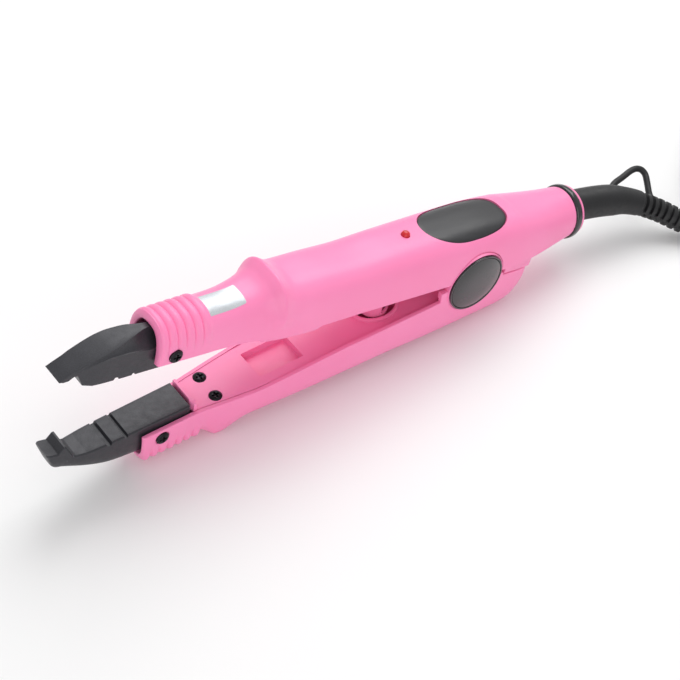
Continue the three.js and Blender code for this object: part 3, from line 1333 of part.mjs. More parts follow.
function addLowerArm(arm) {
  piece(arm, 'lower_shell', lowerShell(), PINK);
  piece(arm, 'lower_inner_cover', lowerInnerCover(), PINK);
  piece(arm, 'lower_jaw', lowerJaw(), CHARCOAL);
  piece(arm, 'lower_heater', heater(-1), CERAMIC);
  piece(arm, 'lower_heater_lead', leadTube([
    [HEATER_REAR_X + FIT_GAP, 0, -JAW_SCREW_Z],
    [HEATER_REAR_X + BOARD_Z, 0, LEAD_DEPTH_Z],
    [POCKET_TO_X, 0, LEAD_DEPTH_Z - WALL],
    [WELL_X - WELL_HALF_LENGTH - WALL, -POCKET_HALF, LEAD_DEPTH_Z - WALL],
    [LED_X + BOARD_Z, -POCKET_HALF, LEAD_DEPTH_Z],
    [PIVOT_X - CHEEK_RADIUS, 0, LEAD_DEPTH_Z],
  ]), LEAD_WHITE);
  [['far', 1], ['near', -1]].forEach(([where, side]) => {
    addJawScrew(arm, `lower_jaw_screw_${where}`, side, LOWER_SCREW_HEAD_Y, -JAW_SCREW_Z);
    const coverScrew = piece(arm, `lower_cover_screw_${where}`, panScrew(COVER_SHANK), BLACK_STEEL);
    coverScrew.rotation.x = Math.PI / 2;
    coverScrew.position.set(COVER_SCREW_X, side * COVER_SCREW_Y,
      LOWER_COVER_Z - SCREW_HEAD_HEIGHT / 2);
    const cap = piece(arm, `pivot_cap_${where}`, pivotCap(side), BLACK_GLOSS);
    cap.position.set(PIVOT_X, side * (EAR_FACE_Y - CAP_SEAT_DEPTH + FIT_GAP + CAP_EDGE / 2), PIVOT_Z);
  });
  const pinEnd = EAR_FACE_Y - CAP_SEAT_DEPTH;
  piece(arm, 'pivot_pin', cylinderY(PIN_RADIUS, -pinEnd, pinEnd, PIVOT_X, PIVOT_Z), BRIGHT_STEEL);
  piece(arm, 'return_spring', returnSpring(WELL_FLOOR_Z + FIT_GAP, SPRING_TOP_Z), BRIGHT_STEEL);
}

// The lamp's domed end, as shares of its radius.
const lampDomeShares = [
  [1, 0],
  [0.75, 0.6],
  [0, 1],
];

function indicatorLed() {
  const dome = profileOf(lampDomeShares, LED_RADIUS, LED_RADIUS);
  dome.forEach((point) => point.setY(point.y + LED_HEIGHT));
  const profile = [new THREE.Vector2(0, 0), new THREE.Vector2(LED_RADIUS, 0), ...dome];
  const geometry = new THREE.LatheGeometry(profile, SMALL_STEPS);
  geometry.rotateX(Math.PI / 2);
  geometry.translate(LED_X, 0, BOARD_Z + BOARD_THICKNESS + FIT_GAP);
  return geometry;
}

function addCord(iron) {
  piece(iron, 'cord_boot', cordBoot(), BLACK_RUBBER);
  piece(iron, 'hang_loop', hangLoop(), BLACK_RUBBER);
  const boot = bootPath();
  const bootEnd = boot.getPointAt(1);
  const bootAlong = boot.getTangentAt(1);
  const { middle, startAngle, points: coil } = coilLine(bootEnd, bootAlong);
  console.log(`least gap between the coil's turns: ${leastSelfGap(coil, CORD_RADIUS).toFixed(2)} mm`);
  const toBoot = coil[0].clone().sub(coil[1]).normalize();
  const third = (COIL_RUN - COIL_LEAD) / 3;
  const free = new THREE.CatmullRomCurve3([
    bootEnd.clone().addScaledVector(bootAlong, FIT_GAP),
    bootEnd.clone().addScaledVector(bootAlong, third),
    coil[0].clone().addScaledVector(toBoot, third),
    coil[0].clone().addScaledVector(toBoot, FIT_GAP),
  ], false, 'centripetal');
  piece(iron, 'mains_cord', sweptTube(free.getSpacedPoints(CORD_STEPS), () => CORD_RADIUS, CORD_SIDES),
    BLACK_RUBBER);
  piece(iron, 'cord_coil', sweptTube(coil, () => CORD_RADIUS, COIL_SIDES), BLACK_RUBBER);
  const tie = piece(iron, 'cord_tie', cordTie(), BLACK_RUBBER);
  const tieAngle = startAngle + TIE_TURN_SHARE * 2 * Math.PI;
  tie.position.copy(aroundMiddle(middle, tieAngle, COIL_MEAN_RADIUS, 0));
  tie.rotation.z = tieAngle;
  addPlug(iron, coil);
}

// Plug body from neck to face: place, width and height as shares.
const plugShares = [
  [0, 0, 0],
  [0.2, 0.08, 0.1],
  [0.38, 0.5, 0.5],
  [0.55, 0.85, 0.85],
  [0.7, 0.97, 1],
  [0.92, 1, 1],
  [1, 0.93, 0.9],
];

function addPlug(iron, coil) {
  const end = coil[coil.length - 1];
  const along = end.clone().sub(coil[coil.length - 2]).setZ(0).normalize();
  const plug = new THREE.Group();
  plug.position.copy(end).addScaledVector(along, FIT_GAP);
  plug.rotation.z = Math.atan2(along.y, along.x);
  iron.add(plug);
  const rings = plugShares.map(([share, width, height]) => ovalRing(share * PLUG_LENGTH,
    PLUG_NECK + (PLUG_HALF_WIDTH - PLUG_NECK) * width,
    PLUG_NECK + (PLUG_HALF_HEIGHT - PLUG_NECK) * height,
    -PLUG_NECK - (PLUG_HALF_HEIGHT - PLUG_NECK) * height, PLUG_SQUARENESS, FINE_STEPS));
  piece(plug, 'plug_body', skin(rings), BLACK_RUBBER);
  ['a', 'b'].forEach((letter, i) => {
    const y = (i ? -1 : 1) * PIN_HALF_SPACING;
    const pin = cylinderX(PLUG_PIN_RADIUS, PLUG_LENGTH + FIT_GAP, PLUG_LENGTH + PIN_LENGTH, y, 0, HOLE_STEPS);
    piece(plug, `plug_pin_${letter}`, pin, BRIGHT_STEEL);
  });
}

export default build();
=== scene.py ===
"""A scissor-style hair extension iron: two pink arms on one pivot, charcoal jaws and a mains cord."""

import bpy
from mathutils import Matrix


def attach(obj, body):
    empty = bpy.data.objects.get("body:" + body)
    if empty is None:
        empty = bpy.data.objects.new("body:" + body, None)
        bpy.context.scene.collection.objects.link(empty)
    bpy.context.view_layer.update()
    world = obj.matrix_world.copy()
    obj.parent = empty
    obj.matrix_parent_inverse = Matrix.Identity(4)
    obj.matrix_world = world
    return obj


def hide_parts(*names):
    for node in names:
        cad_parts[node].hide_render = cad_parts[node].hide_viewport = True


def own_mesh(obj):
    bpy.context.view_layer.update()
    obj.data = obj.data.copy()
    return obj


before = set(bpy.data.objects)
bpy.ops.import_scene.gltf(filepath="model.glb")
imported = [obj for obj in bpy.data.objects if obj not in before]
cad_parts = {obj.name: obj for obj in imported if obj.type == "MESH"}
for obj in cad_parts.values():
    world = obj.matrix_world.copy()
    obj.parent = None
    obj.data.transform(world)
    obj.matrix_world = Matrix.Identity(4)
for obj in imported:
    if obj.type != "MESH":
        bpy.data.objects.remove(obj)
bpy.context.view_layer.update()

import math

import bpy
import numpy as np
from mathutils import Matrix, Vector

# Shut places are in millimetres: X back from the jaw tip, Y across, Z from the jaws' meeting face.
MM = 0.001
PIVOT = np.array([166.8, 0.0, 2.1])
OPEN_ANGLE = math.radians(11.5)
FRAME_X = 111.75
TABLE_Z = -21.5
ARM_LENGTH = 218.0
HALF_WIDTH = 13.9
UPPER_HEIGHT = 18.0
LOWER_DEPTH = 21.7
UPPER_EDGE_Z = 4.0
LOWER_EDGE_Z = -0.4
WALL = 2.2
LOWER_WALL = 1.4
TOP_WALL = 3.4
FIT_GAP = 0.3
BORE_HALF = 6.6
BORE_TOP_Z = 14.9
JAW_HALF = 6.3
JAW_SCREW_X = 39.2
JAW_SCREW_Z = 6.9
COVER_SCREW_X = 62.1
COVER_SCREW_Y = 4.8
POST_X = 133.0
LAMP_X = 138.2
WELL_X = 132.2
WELL_HALF_X = 8.4
WELL_HALF_Y = 6.4
MOUTH_HALF_X = 8.7
MOUTH_HALF_Y = 6.7
SIDES = ((1, "far"), (-1, "near"))


# Placing

def lower_place(points):
    """A shut point in the object's frame, in metres: the frame's origin is taken off."""
    return (np.asarray(points, float) - [FRAME_X, 0.0, TABLE_Z]) * MM


def upper_place(points):
    """A shut point turned about the pivot by the opening angle, then put in the object's frame."""
    offset = np.asarray(points, float) - PIVOT
    turned = np.array(offset)
    turned[..., 0] = offset[..., 0] * math.cos(OPEN_ANGLE) + offset[..., 2] * math.sin(OPEN_ANGLE)
    turned[..., 2] = offset[..., 2] * math.cos(OPEN_ANGLE) - offset[..., 0] * math.sin(OPEN_ANGLE)
    return lower_place(turned + PIVOT)


def table_place(points):
    """A place already in the object's frame, from millimetres to metres."""
    return np.asarray(points, float) * MM


# Curves and tables

def read_table(table, places):
    """Reads a table at many places: cubic Hermite spans whose slopes never overshoot the rows."""
    rows = np.asarray(table, float)
    at, values = rows[:, 0], rows[:, 1:]
    places = np.atleast_1d(np.asarray(places, float))
    k = np.searchsorted(at[1:-1], places, side="left")
    span = np.diff(at)[:, None]
    rise = np.diff(values, axis=0)
    knot = np.vstack([rise[:1] / span[:1], (values[2:] - values[:-2]) / (at[2:] - at[:-2])[:, None],
                      rise[-1:] / span[-1:]])
    limit = 3 * np.abs(rise) / span
    start = np.clip(np.where(knot[:-1] * rise <= 0, 0, knot[:-1]), -limit, limit)
    end = np.clip(np.where(knot[1:] * rise <= 0, 0, knot[1:]), -limit, limit)
    t = np.clip((places - at[k]) / (at[k + 1] - at[k]), 0, 1)[:, None]
    hermite = values[k] * (2 * t ** 3 - 3 * t ** 2 + 1) + values[k + 1] * (3 * t ** 2 - 2 * t ** 3)
    return hermite + span[k] * (start[k] * (t ** 3 - 2 * t ** 2 + t) + end[k] * (t ** 3 - t ** 2))


def smooth_step(low, high, value):
    """0 below low, 1 above high and a cubic ease in between."""
    share = np.clip((np.asarray(value, float) - low) / (high - low), 0, 1)
    return share * share * (3 - 2 * share)


def power(value, exponent):
    """The value's size raised to the exponent, with the value's own sign."""
    return np.sign(value) * np.abs(value) ** exponent


def even_angles(steps, squareness=3.0):
    """Angles from 0 to pi at even distances along a superellipse arch that is 1.3 high for 1 wide."""
    fine = np.linspace(0, np.pi, 6001)
    across = power(np.cos(fine), 2 / squareness)
    up = 1.3 * power(np.sin(fine), 2 / squareness)
    length = np.concatenate([[0], np.cumsum(np.hypot(np.diff(across), np.diff(up)))])
    return np.interp(np.linspace(0, length[-1], steps + 1), length, fine)


def spread(*spans):
    """Stations from spans of (from, to, step), each span's own end left to the next one."""
    parts = [np.linspace(a, b, max(1, round((b - a) / step)), endpoint=False) for a, b, step in spans]
    return np.concatenate(parts + [[spans[-1][1]]])


def arch(x, half, rise, squareness, base, angles):
    """Sections across X: y = half |cos|^(2/p), z = base + rise |sin|^(2/p), each with its sign."""
    x, half, rise, squareness, base = (np.atleast_1d(np.asarray(v, float))[:, None]
                                       for v in (x, half, rise, squareness, base))
    y = half * power(np.cos(angles), 2 / squareness)
    z = base + rise * power(np.sin(angles), 2 / squareness)
    return np.stack([x + 0 * y, y, z], -1)


def rounded_end(x, end, radius, inward):
    """How far a section draws in near an end: the drop of a quarter circle of that radius."""
    reach = np.clip((end + inward * radius - x) * inward / radius, 0, 1)
    return radius * (1 - np.sqrt(1 - reach ** 2))


def filleted(corners, radius, steps=4):
    """A closed outline whose corners are cut back by a radius and bridged by quadratic curves."""
    corners = np.asarray(corners, float)
    radius = np.broadcast_to(np.asarray(radius, float), len(corners))[:, None]
    before = np.roll(corners, 1, 0) - corners
    after = np.roll(corners, -1, 0) - corners
    cut_in = corners + before * np.minimum(radius / np.linalg.norm(before, axis=1)[:, None], 0.5)
    cut_out = corners + after * np.minimum(radius / np.linalg.norm(after, axis=1)[:, None], 0.5)
    t = np.linspace(0, 1, steps + 1)[None, :, None]
    curve = ((1 - t) ** 2 * cut_in[:, None] + 2 * t * (1 - t) * corners[:, None]
             + t ** 2 * cut_out[:, None])
    return curve.reshape(-1, 2)


def rounded_box(low_x, low_y, high_x, high_y, radius, steps):
    """The outline of a box from its low to its high corner, with its corners rounded."""
    corners = [(low_x, low_y), (high_x, low_y), (high_x, high_y), (low_x, high_y)]
    return filleted(corners, radius, steps)


def smooth_path(points, spacing):
    """A centripetal Catmull-Rom curve through the points, at evenly spaced places along it."""
    points = np.asarray(points, float)
    points = np.vstack([2 * points[0] - points[1], points, 2 * points[-1] - points[-2]])
    step = np.linalg.norm(np.diff(points, axis=0), axis=1) ** 0.5
    a, b, c, d = points[:-3], points[1:-2], points[2:-1], points[3:]
    ab, bc, cd = step[:-2, None], step[1:-1, None], step[2:, None]
    start = ((b - a) / ab - (c - a) / (ab + bc) + (c - b) / bc) * bc
    end = ((c - b) / bc - (d - b) / (bc + cd) + (d - c) / cd) * bc
    t = np.linspace(0, 1, 60, endpoint=False)[None, :, None]
    fine = (b[:, None] * (2 * t ** 3 - 3 * t ** 2 + 1) + c[:, None] * (3 * t ** 2 - 2 * t ** 3)
            + start[:, None] * (t ** 3 - 2 * t ** 2 + t) + end[:, None] * (t ** 3 - t ** 2))
    return even_path(np.vstack([fine.reshape(-1, 3), points[-2]]), spacing)


def even_path(points, spacing):
    """The same polyline with points at even distances, about spacing apart."""
    length = np.concatenate([[0], np.cumsum(np.linalg.norm(np.diff(points, axis=0), axis=1))])
    at = np.linspace(0, length[-1], max(2, round(length[-1] / spacing)) + 1)
    return np.stack([np.interp(at, length, points[:, axis]) for axis in range(3)], -1)


def shares_along(path):
    """Each point's distance along a path, as a share of its whole length."""
    length = np.concatenate([[0], np.cumsum(np.linalg.norm(np.diff(path, axis=0), axis=1))])
    return length / length[-1]


def frames(path, up=(0.0, 0.0, 1.0)):
    """Tangent, side and upper direction along a path that never runs along the up direction."""
    tangent = np.gradient(path, axis=0)
    tangent /= np.linalg.norm(tangent, axis=1)[:, None]
    side = np.cross(np.asarray(up, float), tangent)
    side /= np.linalg.norm(side, axis=1)[:, None]
    return tangent, side, np.cross(tangent, side)


# Meshes

def grid_faces(rows, columns, wrap_rows=False):
    """Quads of a grid of rings: each ring is closed, and the last ring may join the first."""
    row = np.arange(rows if wrap_rows else rows - 1)[:, None]
    column = np.arange(columns)[None, :]
    after = (column + 1) % columns
    above = ((row + 1) % rows) * columns
    return np.stack([row * columns + column, row * columns + after, above + after, above + column],
                    -1).reshape(-1, 4)


def signed_volume(points, faces):
    """Six times the volume inside closed faces, negative where they point inwards."""
    a = points[faces[:, 0]]
    total = 0.0
    for corner in range(1, faces.shape[1] - 1):
        total += np.einsum("ij,ij->", a, np.cross(points[faces[:, corner]], points[faces[:, corner + 1]]))
    return total


def mesh_of(name, points, face_sets, material, crease=35):
    """A mesh from arrays of faces with equal side counts, turned so that closed faces point out."""
    face_sets = [np.asarray(faces, int) for faces in face_sets if len(faces)]
    if sum(signed_volume(points, faces) for faces in face_sets) < 0:
        face_sets = [faces[:, ::-1] for faces in face_sets]
    corners = np.concatenate([faces.ravel() for faces in face_sets])
    sides = np.concatenate([np.full(len(faces), faces.shape[1]) for faces in face_sets])
    mesh = bpy.data.meshes.new(name)
    mesh.vertices.add(len(points))
    mesh.vertices.foreach_set("co", np.asarray(points, np.float32).ravel())
    mesh.loops.add(len(corners))
    mesh.loops.foreach_set("vertex_index", corners.astype(np.int32))
    mesh.polygons.add(len(sides))
    mesh.polygons.foreach_set("loop_start", np.concatenate([[0], np.cumsum(sides)[:-1]]).astype(np.int32))
    mesh.update(calc_edges=True)
    mesh.validate()
    mesh.materials.append(material)
    piece = bpy.data.objects.new(name, mesh)
    bpy.context.collection.objects.link(piece)
    soften(piece, crease)
    return piece


def soften(piece, crease=35):
    """Smooth shading with sharp edges where faces meet at more than the crease angle."""
    piece.data.shade_smooth()
    piece.data.set_sharp_from_angle(angle=math.radians(crease))


def loft(name, rings, place, material, poles=(None, None), crease=35):
    """A closed skin over rings of equal point counts, each end a fan to its pole or to its middle."""
    rows, columns = rings.shape[:2]
    ends = [rings[row].mean(0) if pole is None else np.asarray(pole, float)
            for row, pole in zip((0, -1), poles)]
    points = place(np.vstack([rings.reshape(-1, 3), *[end[None] for end in ends]]))
    first = np.arange(columns)
    after = (first + 1) % columns
    last = (rows - 1) * columns
    fans = np.concatenate([
        np.stack([np.full(columns, rows * columns), after, first], -1),
        np.stack([np.full(columns, rows * columns + 1), last + first, last + after], -1)])
    return mesh_of(name, points, [grid_faces(rows, columns), fans], material, crease)


def hoop(name, rings, place, material, crease=35):
    """A closed skin over rings where the last ring joins the first, like a bent tube or a washer."""
    points = place(rings.reshape(-1, 3))
    return mesh_of(name, points, [grid_faces(*rings.shape[:2], wrap_rows=True)], material, crease)


def turned(profile, centre, axis, sides=96):
    """Rings of a profile of (radius, height) turned about an axis, X, Y or Z, through a centre."""
    profile = np.asarray(profile, float)
    angle = np.linspace(0, 2 * np.pi, sides, endpoint=False)
    radius, height = profile[:, :1], profile[:, 1:2] + 0 * angle
    ring = np.stack([height, radius * np.cos(angle), radius * np.sin(angle)], -1)
    return np.roll(ring, {"X": 0, "Y": 1, "Z": 2}[axis], axis=-1) + np.asarray(centre, float)


def spun(name, profile, centre, axis, place, material, sides=96, crease=35):
    """A solid of revolution: the profile's ends at radius 0 become poles on the axis."""
    profile = np.asarray(profile, float)
    unit = np.roll([1.0, 0.0, 0.0], {"X": 0, "Y": 1, "Z": 2}[axis])
    poles = [np.asarray(centre, float) + unit * profile[end, 1] for end in (0, -1)]
    return loft(name, turned(profile[1:-1], centre, axis, sides), place, material, poles, crease)


def washer(name, profile, centre, axis, place, material, sides=96, crease=35):
    """A ring of revolution with a hole: its closed profile is turned about the axis."""
    return hoop(name, turned(profile, centre, axis, sides), place, material, crease)


def swept(name, path, radius, place, material, sides=24, up=(0, 0, 1), crease=35):
    """A tube along a path: each ring is the path's point plus radius times (cos, sin) of its frame."""
    _, side, over = frames(path, up)
    angle = np.linspace(0, 2 * np.pi, sides, endpoint=False)
    radius = np.broadcast_to(np.asarray(radius, float), (len(path), sides))[..., None]
    rings = path[:, None] + radius * (side[:, None] * np.cos(angle)[:, None]
                                      + over[:, None] * np.sin(angle)[:, None])
    return loft(name, rings, place, material, (path[0], path[-1]), crease)


def pad(name, outline, levels, bottom, top, place, material, crease=35):
    """A sheet with a rounded edge: rings of the outline shrunk by share, at level 0 bottom, 1 top."""
    centre = outline.mean(0)
    rings = []
    for share, level in levels:
        xy = centre + (outline - centre) * share
        z = bottom(xy[:, 0], xy[:, 1]) * (1 - level) + top(xy[:, 0], xy[:, 1]) * level
        rings.append(np.column_stack([xy, z]))
    return loft(name, np.stack(rings), place, material, crease=crease)


PAD_LEVELS = [(0.1, 1), (0.25, 1), (0.4, 1), (0.55, 1), (0.7, 1), (0.82, 1), (0.9, 1), (0.95, 0.98),
              (0.975, 0.93), (0.99, 0.83), (1, 0.66), (1, 0.1), (0.99, 0), (0.6, 0), (0.1, 0)]
TOOL_LEVELS = [(0.1, 1), (0.5, 1), (0.8, 1), (1, 1), (1, 0), (0.8, 0), (0.5, 0), (0.1, 0)]


def slab(name, outline, low, high, round_by, plane, place, material, crease=35):
    """A plate with rounded rims: rings of the outline drawn in by a quarter circle at both faces.

    plane XZ draws the outline in X and Z and runs along Y; plane XY runs along Z, YZ along X."""
    outline = np.asarray(outline, float)
    along = np.roll(outline, -1, 0) - np.roll(outline, 1, 0)
    area = np.sum(outline[:, 0] * np.roll(outline[:, 1], -1) - outline[:, 1] * np.roll(outline[:, 0], -1))
    inward = np.stack([-along[:, 1], along[:, 0]], -1) * np.sign(area)
    inward /= np.linalg.norm(inward, axis=1)[:, None] + 1e-12
    turn = np.linspace(0, np.pi / 2, 4)
    inset = np.concatenate([round_by * (1 - np.sin(turn)), round_by * (1 - np.cos(turn))])
    level = np.concatenate([low + round_by * (1 - np.cos(turn)), high - round_by * (1 - np.sin(turn))])
    flat = outline[None] + inward[None] * inset[:, None, None]
    depth = np.broadcast_to(level[:, None], flat.shape[:2])
    order = {"XZ": (flat[..., 0], depth, flat[..., 1]), "XY": (flat[..., 0], flat[..., 1], depth),
             "YZ": (depth, flat[..., 0], flat[..., 1])}[plane]
    return loft(name, np.stack(order, -1), place, material, crease=crease)


def carve(piece, cuts=(), additions=(), crease=35):
    """Joins closed tools to a piece and cuts others out of it, then keeps the result as its mesh."""
    for operation, tools in (("UNION", additions), ("DIFFERENCE", cuts)):
        for tool in tools:
            modifier = piece.modifiers.new("carve", "BOOLEAN")
            modifier.operation = operation
            modifier.solver = "EXACT"
            modifier.object = tool
    depsgraph = bpy.context.evaluated_depsgraph_get()
    result = bpy.data.meshes.new_from_object(piece.evaluated_get(depsgraph))
    piece.modifiers.clear()
    used = piece.data
    piece.data = result
    result.name = piece.name
    bpy.data.meshes.remove(used)
    for tool in (*cuts, *additions):
        bpy.data.objects.remove(tool)
    soften(piece, crease)
    return piece


def seat(piece, body, slot, *nodes):
    """Rides a piece on its body and lets it stand for its nodes; the slot is not used."""
    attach(piece, body)
    if nodes:
        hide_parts(*nodes)
    return piece


# Finishes

# Most of a noise's values lie between these two.
NOISE_LOW = 0.3
NOISE_HIGH = 0.7


class Finish:
    """A material whose nodes are added by short calls."""

    def __init__(self, name, roughness, metallic=0.0, **sockets):
        """Starts the material; a socket's name is written with low lines for its spaces."""
        self.material = bpy.data.materials.new(name)
        self.material.use_nodes = True
        self.nodes = self.material.node_tree.nodes
        self.links = self.material.node_tree.links
        self.shader = self.nodes["Principled BSDF"]
        self.shader.inputs["Roughness"].default_value = roughness
        self.shader.inputs["Metallic"].default_value = metallic
        for socket, value in sockets.items():
            self.shader.inputs[socket.replace("_", " ")].default_value = value
        self.place = self.nodes.new("ShaderNodeTexCoord").outputs["Object"]

    def noise(self, scale, detail=3.0, roughness=0.55, stretch=None):
        """Soft noise on the object's own coordinates, drawn out along the axes by stretch."""
        node = self.nodes.new("ShaderNodeTexNoise")
        node.inputs["Scale"].default_value = scale
        node.inputs["Detail"].default_value = detail
        node.inputs["Roughness"].default_value = roughness
        source = self.place
        if stretch:
            mapping = self.nodes.new("ShaderNodeMapping")
            mapping.inputs["Scale"].default_value = stretch
            self.links.new(source, mapping.inputs["Vector"])
            source = mapping.outputs["Vector"]
        self.links.new(source, node.inputs["Vector"])
        return node.outputs["Fac"]

    def ranged(self, source, low, high, out_low, out_high):
        """A value moved from one range to another."""
        node = self.nodes.new("ShaderNodeMapRange")
        for socket, value in (("From Min", low), ("From Max", high),
                              ("To Min", out_low), ("To Max", out_high)):
            node.inputs[socket].default_value = value
        self.links.new(source, node.inputs["Value"])
        return node.outputs["Result"]

    def mixed(self, share, first, second):
        """One colour or the other by a share; each colour is three numbers or an output."""
        node = self.nodes.new("ShaderNodeMix")
        node.data_type = "RGBA"
        self.links.new(share, node.inputs["Factor"])
        for socket, colour in ((node.inputs[6], first), (node.inputs[7], second)):
            if isinstance(colour, bpy.types.NodeSocket):
                self.links.new(colour, socket)
            else:
                socket.default_value = (*colour, 1)
        return node.outputs[2]

    def between(self, source, first, second, low=NOISE_LOW, high=NOISE_HIGH):
        """A colour that goes from the first to the second as the source goes from low to high."""
        return self.mixed(self.ranged(source, low, high, 0, 1), first, second)

    def edges(self, low, high):
        """How far a place stands out as a convex edge, from the mesh's pointiness."""
        geometry = self.nodes.new("ShaderNodeNewGeometry")
        return self.ranged(geometry.outputs["Pointiness"], low, high, 0, 1)

    def colour(self, source):
        """The base colour from an output."""
        self.links.new(source, self.shader.inputs["Base Color"])

    def gloss(self, source, low, high):
        """Roughness from low to high as the source goes through a noise's usual values."""
        spread_out = self.ranged(source, NOISE_LOW, NOISE_HIGH, low, high)
        self.links.new(spread_out, self.shader.inputs["Roughness"])

    def relief(self, source, depth, strength=1.0):
        """Fine bumps as deep as depth, in metres."""
        bump = self.nodes.new("ShaderNodeBump")
        bump.inputs["Distance"].default_value = depth
        bump.inputs["Strength"].default_value = strength
        self.links.new(source, bump.inputs["Height"])
        self.links.new(bump.outputs["Normal"], self.shader.inputs["Normal"])
        return self


def screen(red, green, blue):
    """Linear colour from screen values of 0 to 255."""
    share = np.array([red, green, blue]) / 255
    return tuple(np.where(share <= 0.04045, share / 12.92, ((share + 0.055) / 1.055) ** 2.4).tolist())


def pink_plastic():
    """Satin moulded plastic: faint drift of shade, spark-eroded grain and a little softness."""
    made = Finish("pink_moulded_plastic", 0.38, Subsurface_Weight=0.08, Subsurface_Scale=0.0015,
                  Coat_Weight=0.06, Coat_Roughness=0.25)
    made.shader.inputs["Subsurface Radius"].default_value = (1.0, 0.35, 0.5)
    drift = made.noise(38, 2)
    made.colour(made.between(drift, screen(251, 135, 184), screen(254, 141, 190)))
    made.gloss(made.noise(900, 4), 0.33, 0.43)
    return made.relief(made.noise(5200, 2), 0.000012, 0.55).material


def charcoal_coating():
    """Baked coating on a casting: fine speckle, faint orange peel and lighter edges, partly wear and partly a
    painted highlight on the creases.
    """
    made = Finish("charcoal_baked_coating", 0.42, 0.25, Coat_Weight=0.15, Coat_Roughness=0.3)
    speckle = made.between(made.noise(2600, 2), screen(42, 42, 47), screen(52, 52, 58), 0.35, 0.65)
    # Convex edges mixed towards a pale grey: partly edge wear, partly a painted highlight along the creases.
    made.colour(made.mixed(made.edges(0.57, 0.72), speckle, screen(112, 112, 120)))
    made.gloss(made.noise(420, 3), 0.36, 0.5)
    return made.relief(made.noise(1500, 3), 0.00003, 0.6).material


def black_gloss():
    """Polished black moulding with a faint cloud in its gloss."""
    made = Finish("black_polished_plastic", 0.2, Coat_Weight=0.5, Coat_Roughness=0.12)
    made.colour(made.between(made.noise(60, 2), screen(22, 22, 25), screen(30, 30, 33)))
    made.gloss(made.noise(500, 3), 0.16, 0.26)
    return made.relief(made.noise(3000, 2), 0.000006, 0.4).material


def cap_gloss():
    """Dark grey lacquer on the pivot caps, with a faint cloud in its shade and gloss."""
    made = Finish("cap_dark_lacquer", 0.22, 0.15, Coat_Weight=0.7, Coat_Roughness=0.08)
    made.colour(made.between(made.noise(90, 2), screen(24, 24, 27), screen(30, 30, 34)))
    made.gloss(made.noise(420, 3), 0.18, 0.28)
    return made.relief(made.noise(2600, 2), 0.000008, 0.4).material


def black_rubber():
    """Soft satin rubber with fine moulding grain."""
    made = Finish("black_soft_rubber", 0.5, Sheen_Weight=0.05, Sheen_Roughness=0.4)
    made.colour(made.between(made.noise(120, 3), screen(17, 17, 19), screen(23, 23, 26)))
    made.gloss(made.noise(700, 4), 0.42, 0.58)
    return made.relief(made.noise(3600, 3), 0.00002, 0.6).material


def black_steel():
    """Blackened steel whose edges have worn bright."""
    made = Finish("blackened_steel", 0.34, 0.85)
    base = made.between(made.noise(1800, 3), screen(30, 30, 33), screen(46, 46, 50), 0.35, 0.65)
    made.colour(made.mixed(made.edges(0.53, 0.66), base, screen(125, 125, 130)))
    made.gloss(made.noise(1200, 3), 0.26, 0.42)
    return made.relief(made.noise(4000, 2), 0.000008, 0.5).material


def bright_steel():
    """Bright drawn steel with fine marks along Z."""
    made = Finish("bright_drawn_steel", 0.26, 1.0)
    streak = made.noise(700, 4, stretch=(1, 1, 0.06))
    made.colour(made.between(streak, screen(196, 196, 200), screen(222, 222, 226)))
    made.gloss(streak, 0.2, 0.34)
    return made.relief(streak, 0.000006, 0.5).material


def ceramic():
    """Off-white heater ceramic with fine specks and a dry, pitted skin."""
    made = Finish("heater_ceramic", 0.72)
    made.colour(made.between(made.noise(4200, 1), screen(233, 228, 218), screen(168, 156, 140), 0.6, 0.68))
    made.gloss(made.noise(900, 3), 0.62, 0.8)
    return made.relief(made.noise(2600, 4), 0.00003, 0.6).material


def board():
    """Green solder mask over copper tracks, which show as paler straight bands."""
    made = Finish("green_circuit_board", 0.4, Coat_Weight=0.3, Coat_Roughness=0.2)
    tracks = made.nodes.new("ShaderNodeTexBrick")
    tracks.inputs["Scale"].default_value = 260
    tracks.inputs["Mortar Size"].default_value = 0.06
    tracks.inputs["Color1"].default_value = (*screen(30, 96, 48), 1)
    tracks.inputs["Color2"].default_value = (*screen(34, 104, 52), 1)
    tracks.inputs["Mortar"].default_value = (*screen(84, 150, 84), 1)
    made.links.new(made.place, tracks.inputs["Vector"])
    made.colour(tracks.outputs["Color"])
    made.gloss(made.noise(900, 3), 0.34, 0.48)
    return made.relief(tracks.outputs["Fac"], 0.00002, 0.5).material


def lead_sleeve():
    """Woven glass sleeve on the heater leads: two crossing fine waves."""
    made = Finish("woven_lead_sleeve", 0.7, Sheen_Weight=0.2)
    waves = []
    for turn in (0.8, -0.8):
        mapping = made.nodes.new("ShaderNodeMapping")
        mapping.inputs["Rotation"].default_value = (0, turn, turn)
        wave = made.nodes.new("ShaderNodeTexWave")
        wave.inputs["Scale"].default_value = 700
        made.links.new(made.place, mapping.inputs["Vector"])
        made.links.new(mapping.outputs["Vector"], wave.inputs["Vector"])
        waves.append(wave.outputs["Fac"])
    weave = made.nodes.new("ShaderNodeMath")
    weave.operation = "MAXIMUM"
    made.links.new(waves[0], weave.inputs[0])
    made.links.new(waves[1], weave.inputs[1])
    made.colour(made.mixed(weave.outputs[0], screen(186, 186, 180), screen(232, 232, 226)))
    return made.relief(weave.outputs[0], 0.00005, 0.8).material


def silver_label():
    """Bare silvery film: a fine metallic sparkle under a clear face."""
    made = Finish("bare_silver_film", 0.36, 0.35, Coat_Weight=0.4, Coat_Roughness=0.15)
    sparkle = made.noise(6500, 1)
    made.colour(made.between(sparkle, screen(184, 189, 194), screen(206, 210, 214), 0.35, 0.65))
    made.gloss(made.noise(240, 3), 0.3, 0.42)
    return made.relief(made.noise(160, 3), 0.00004, 0.5).material


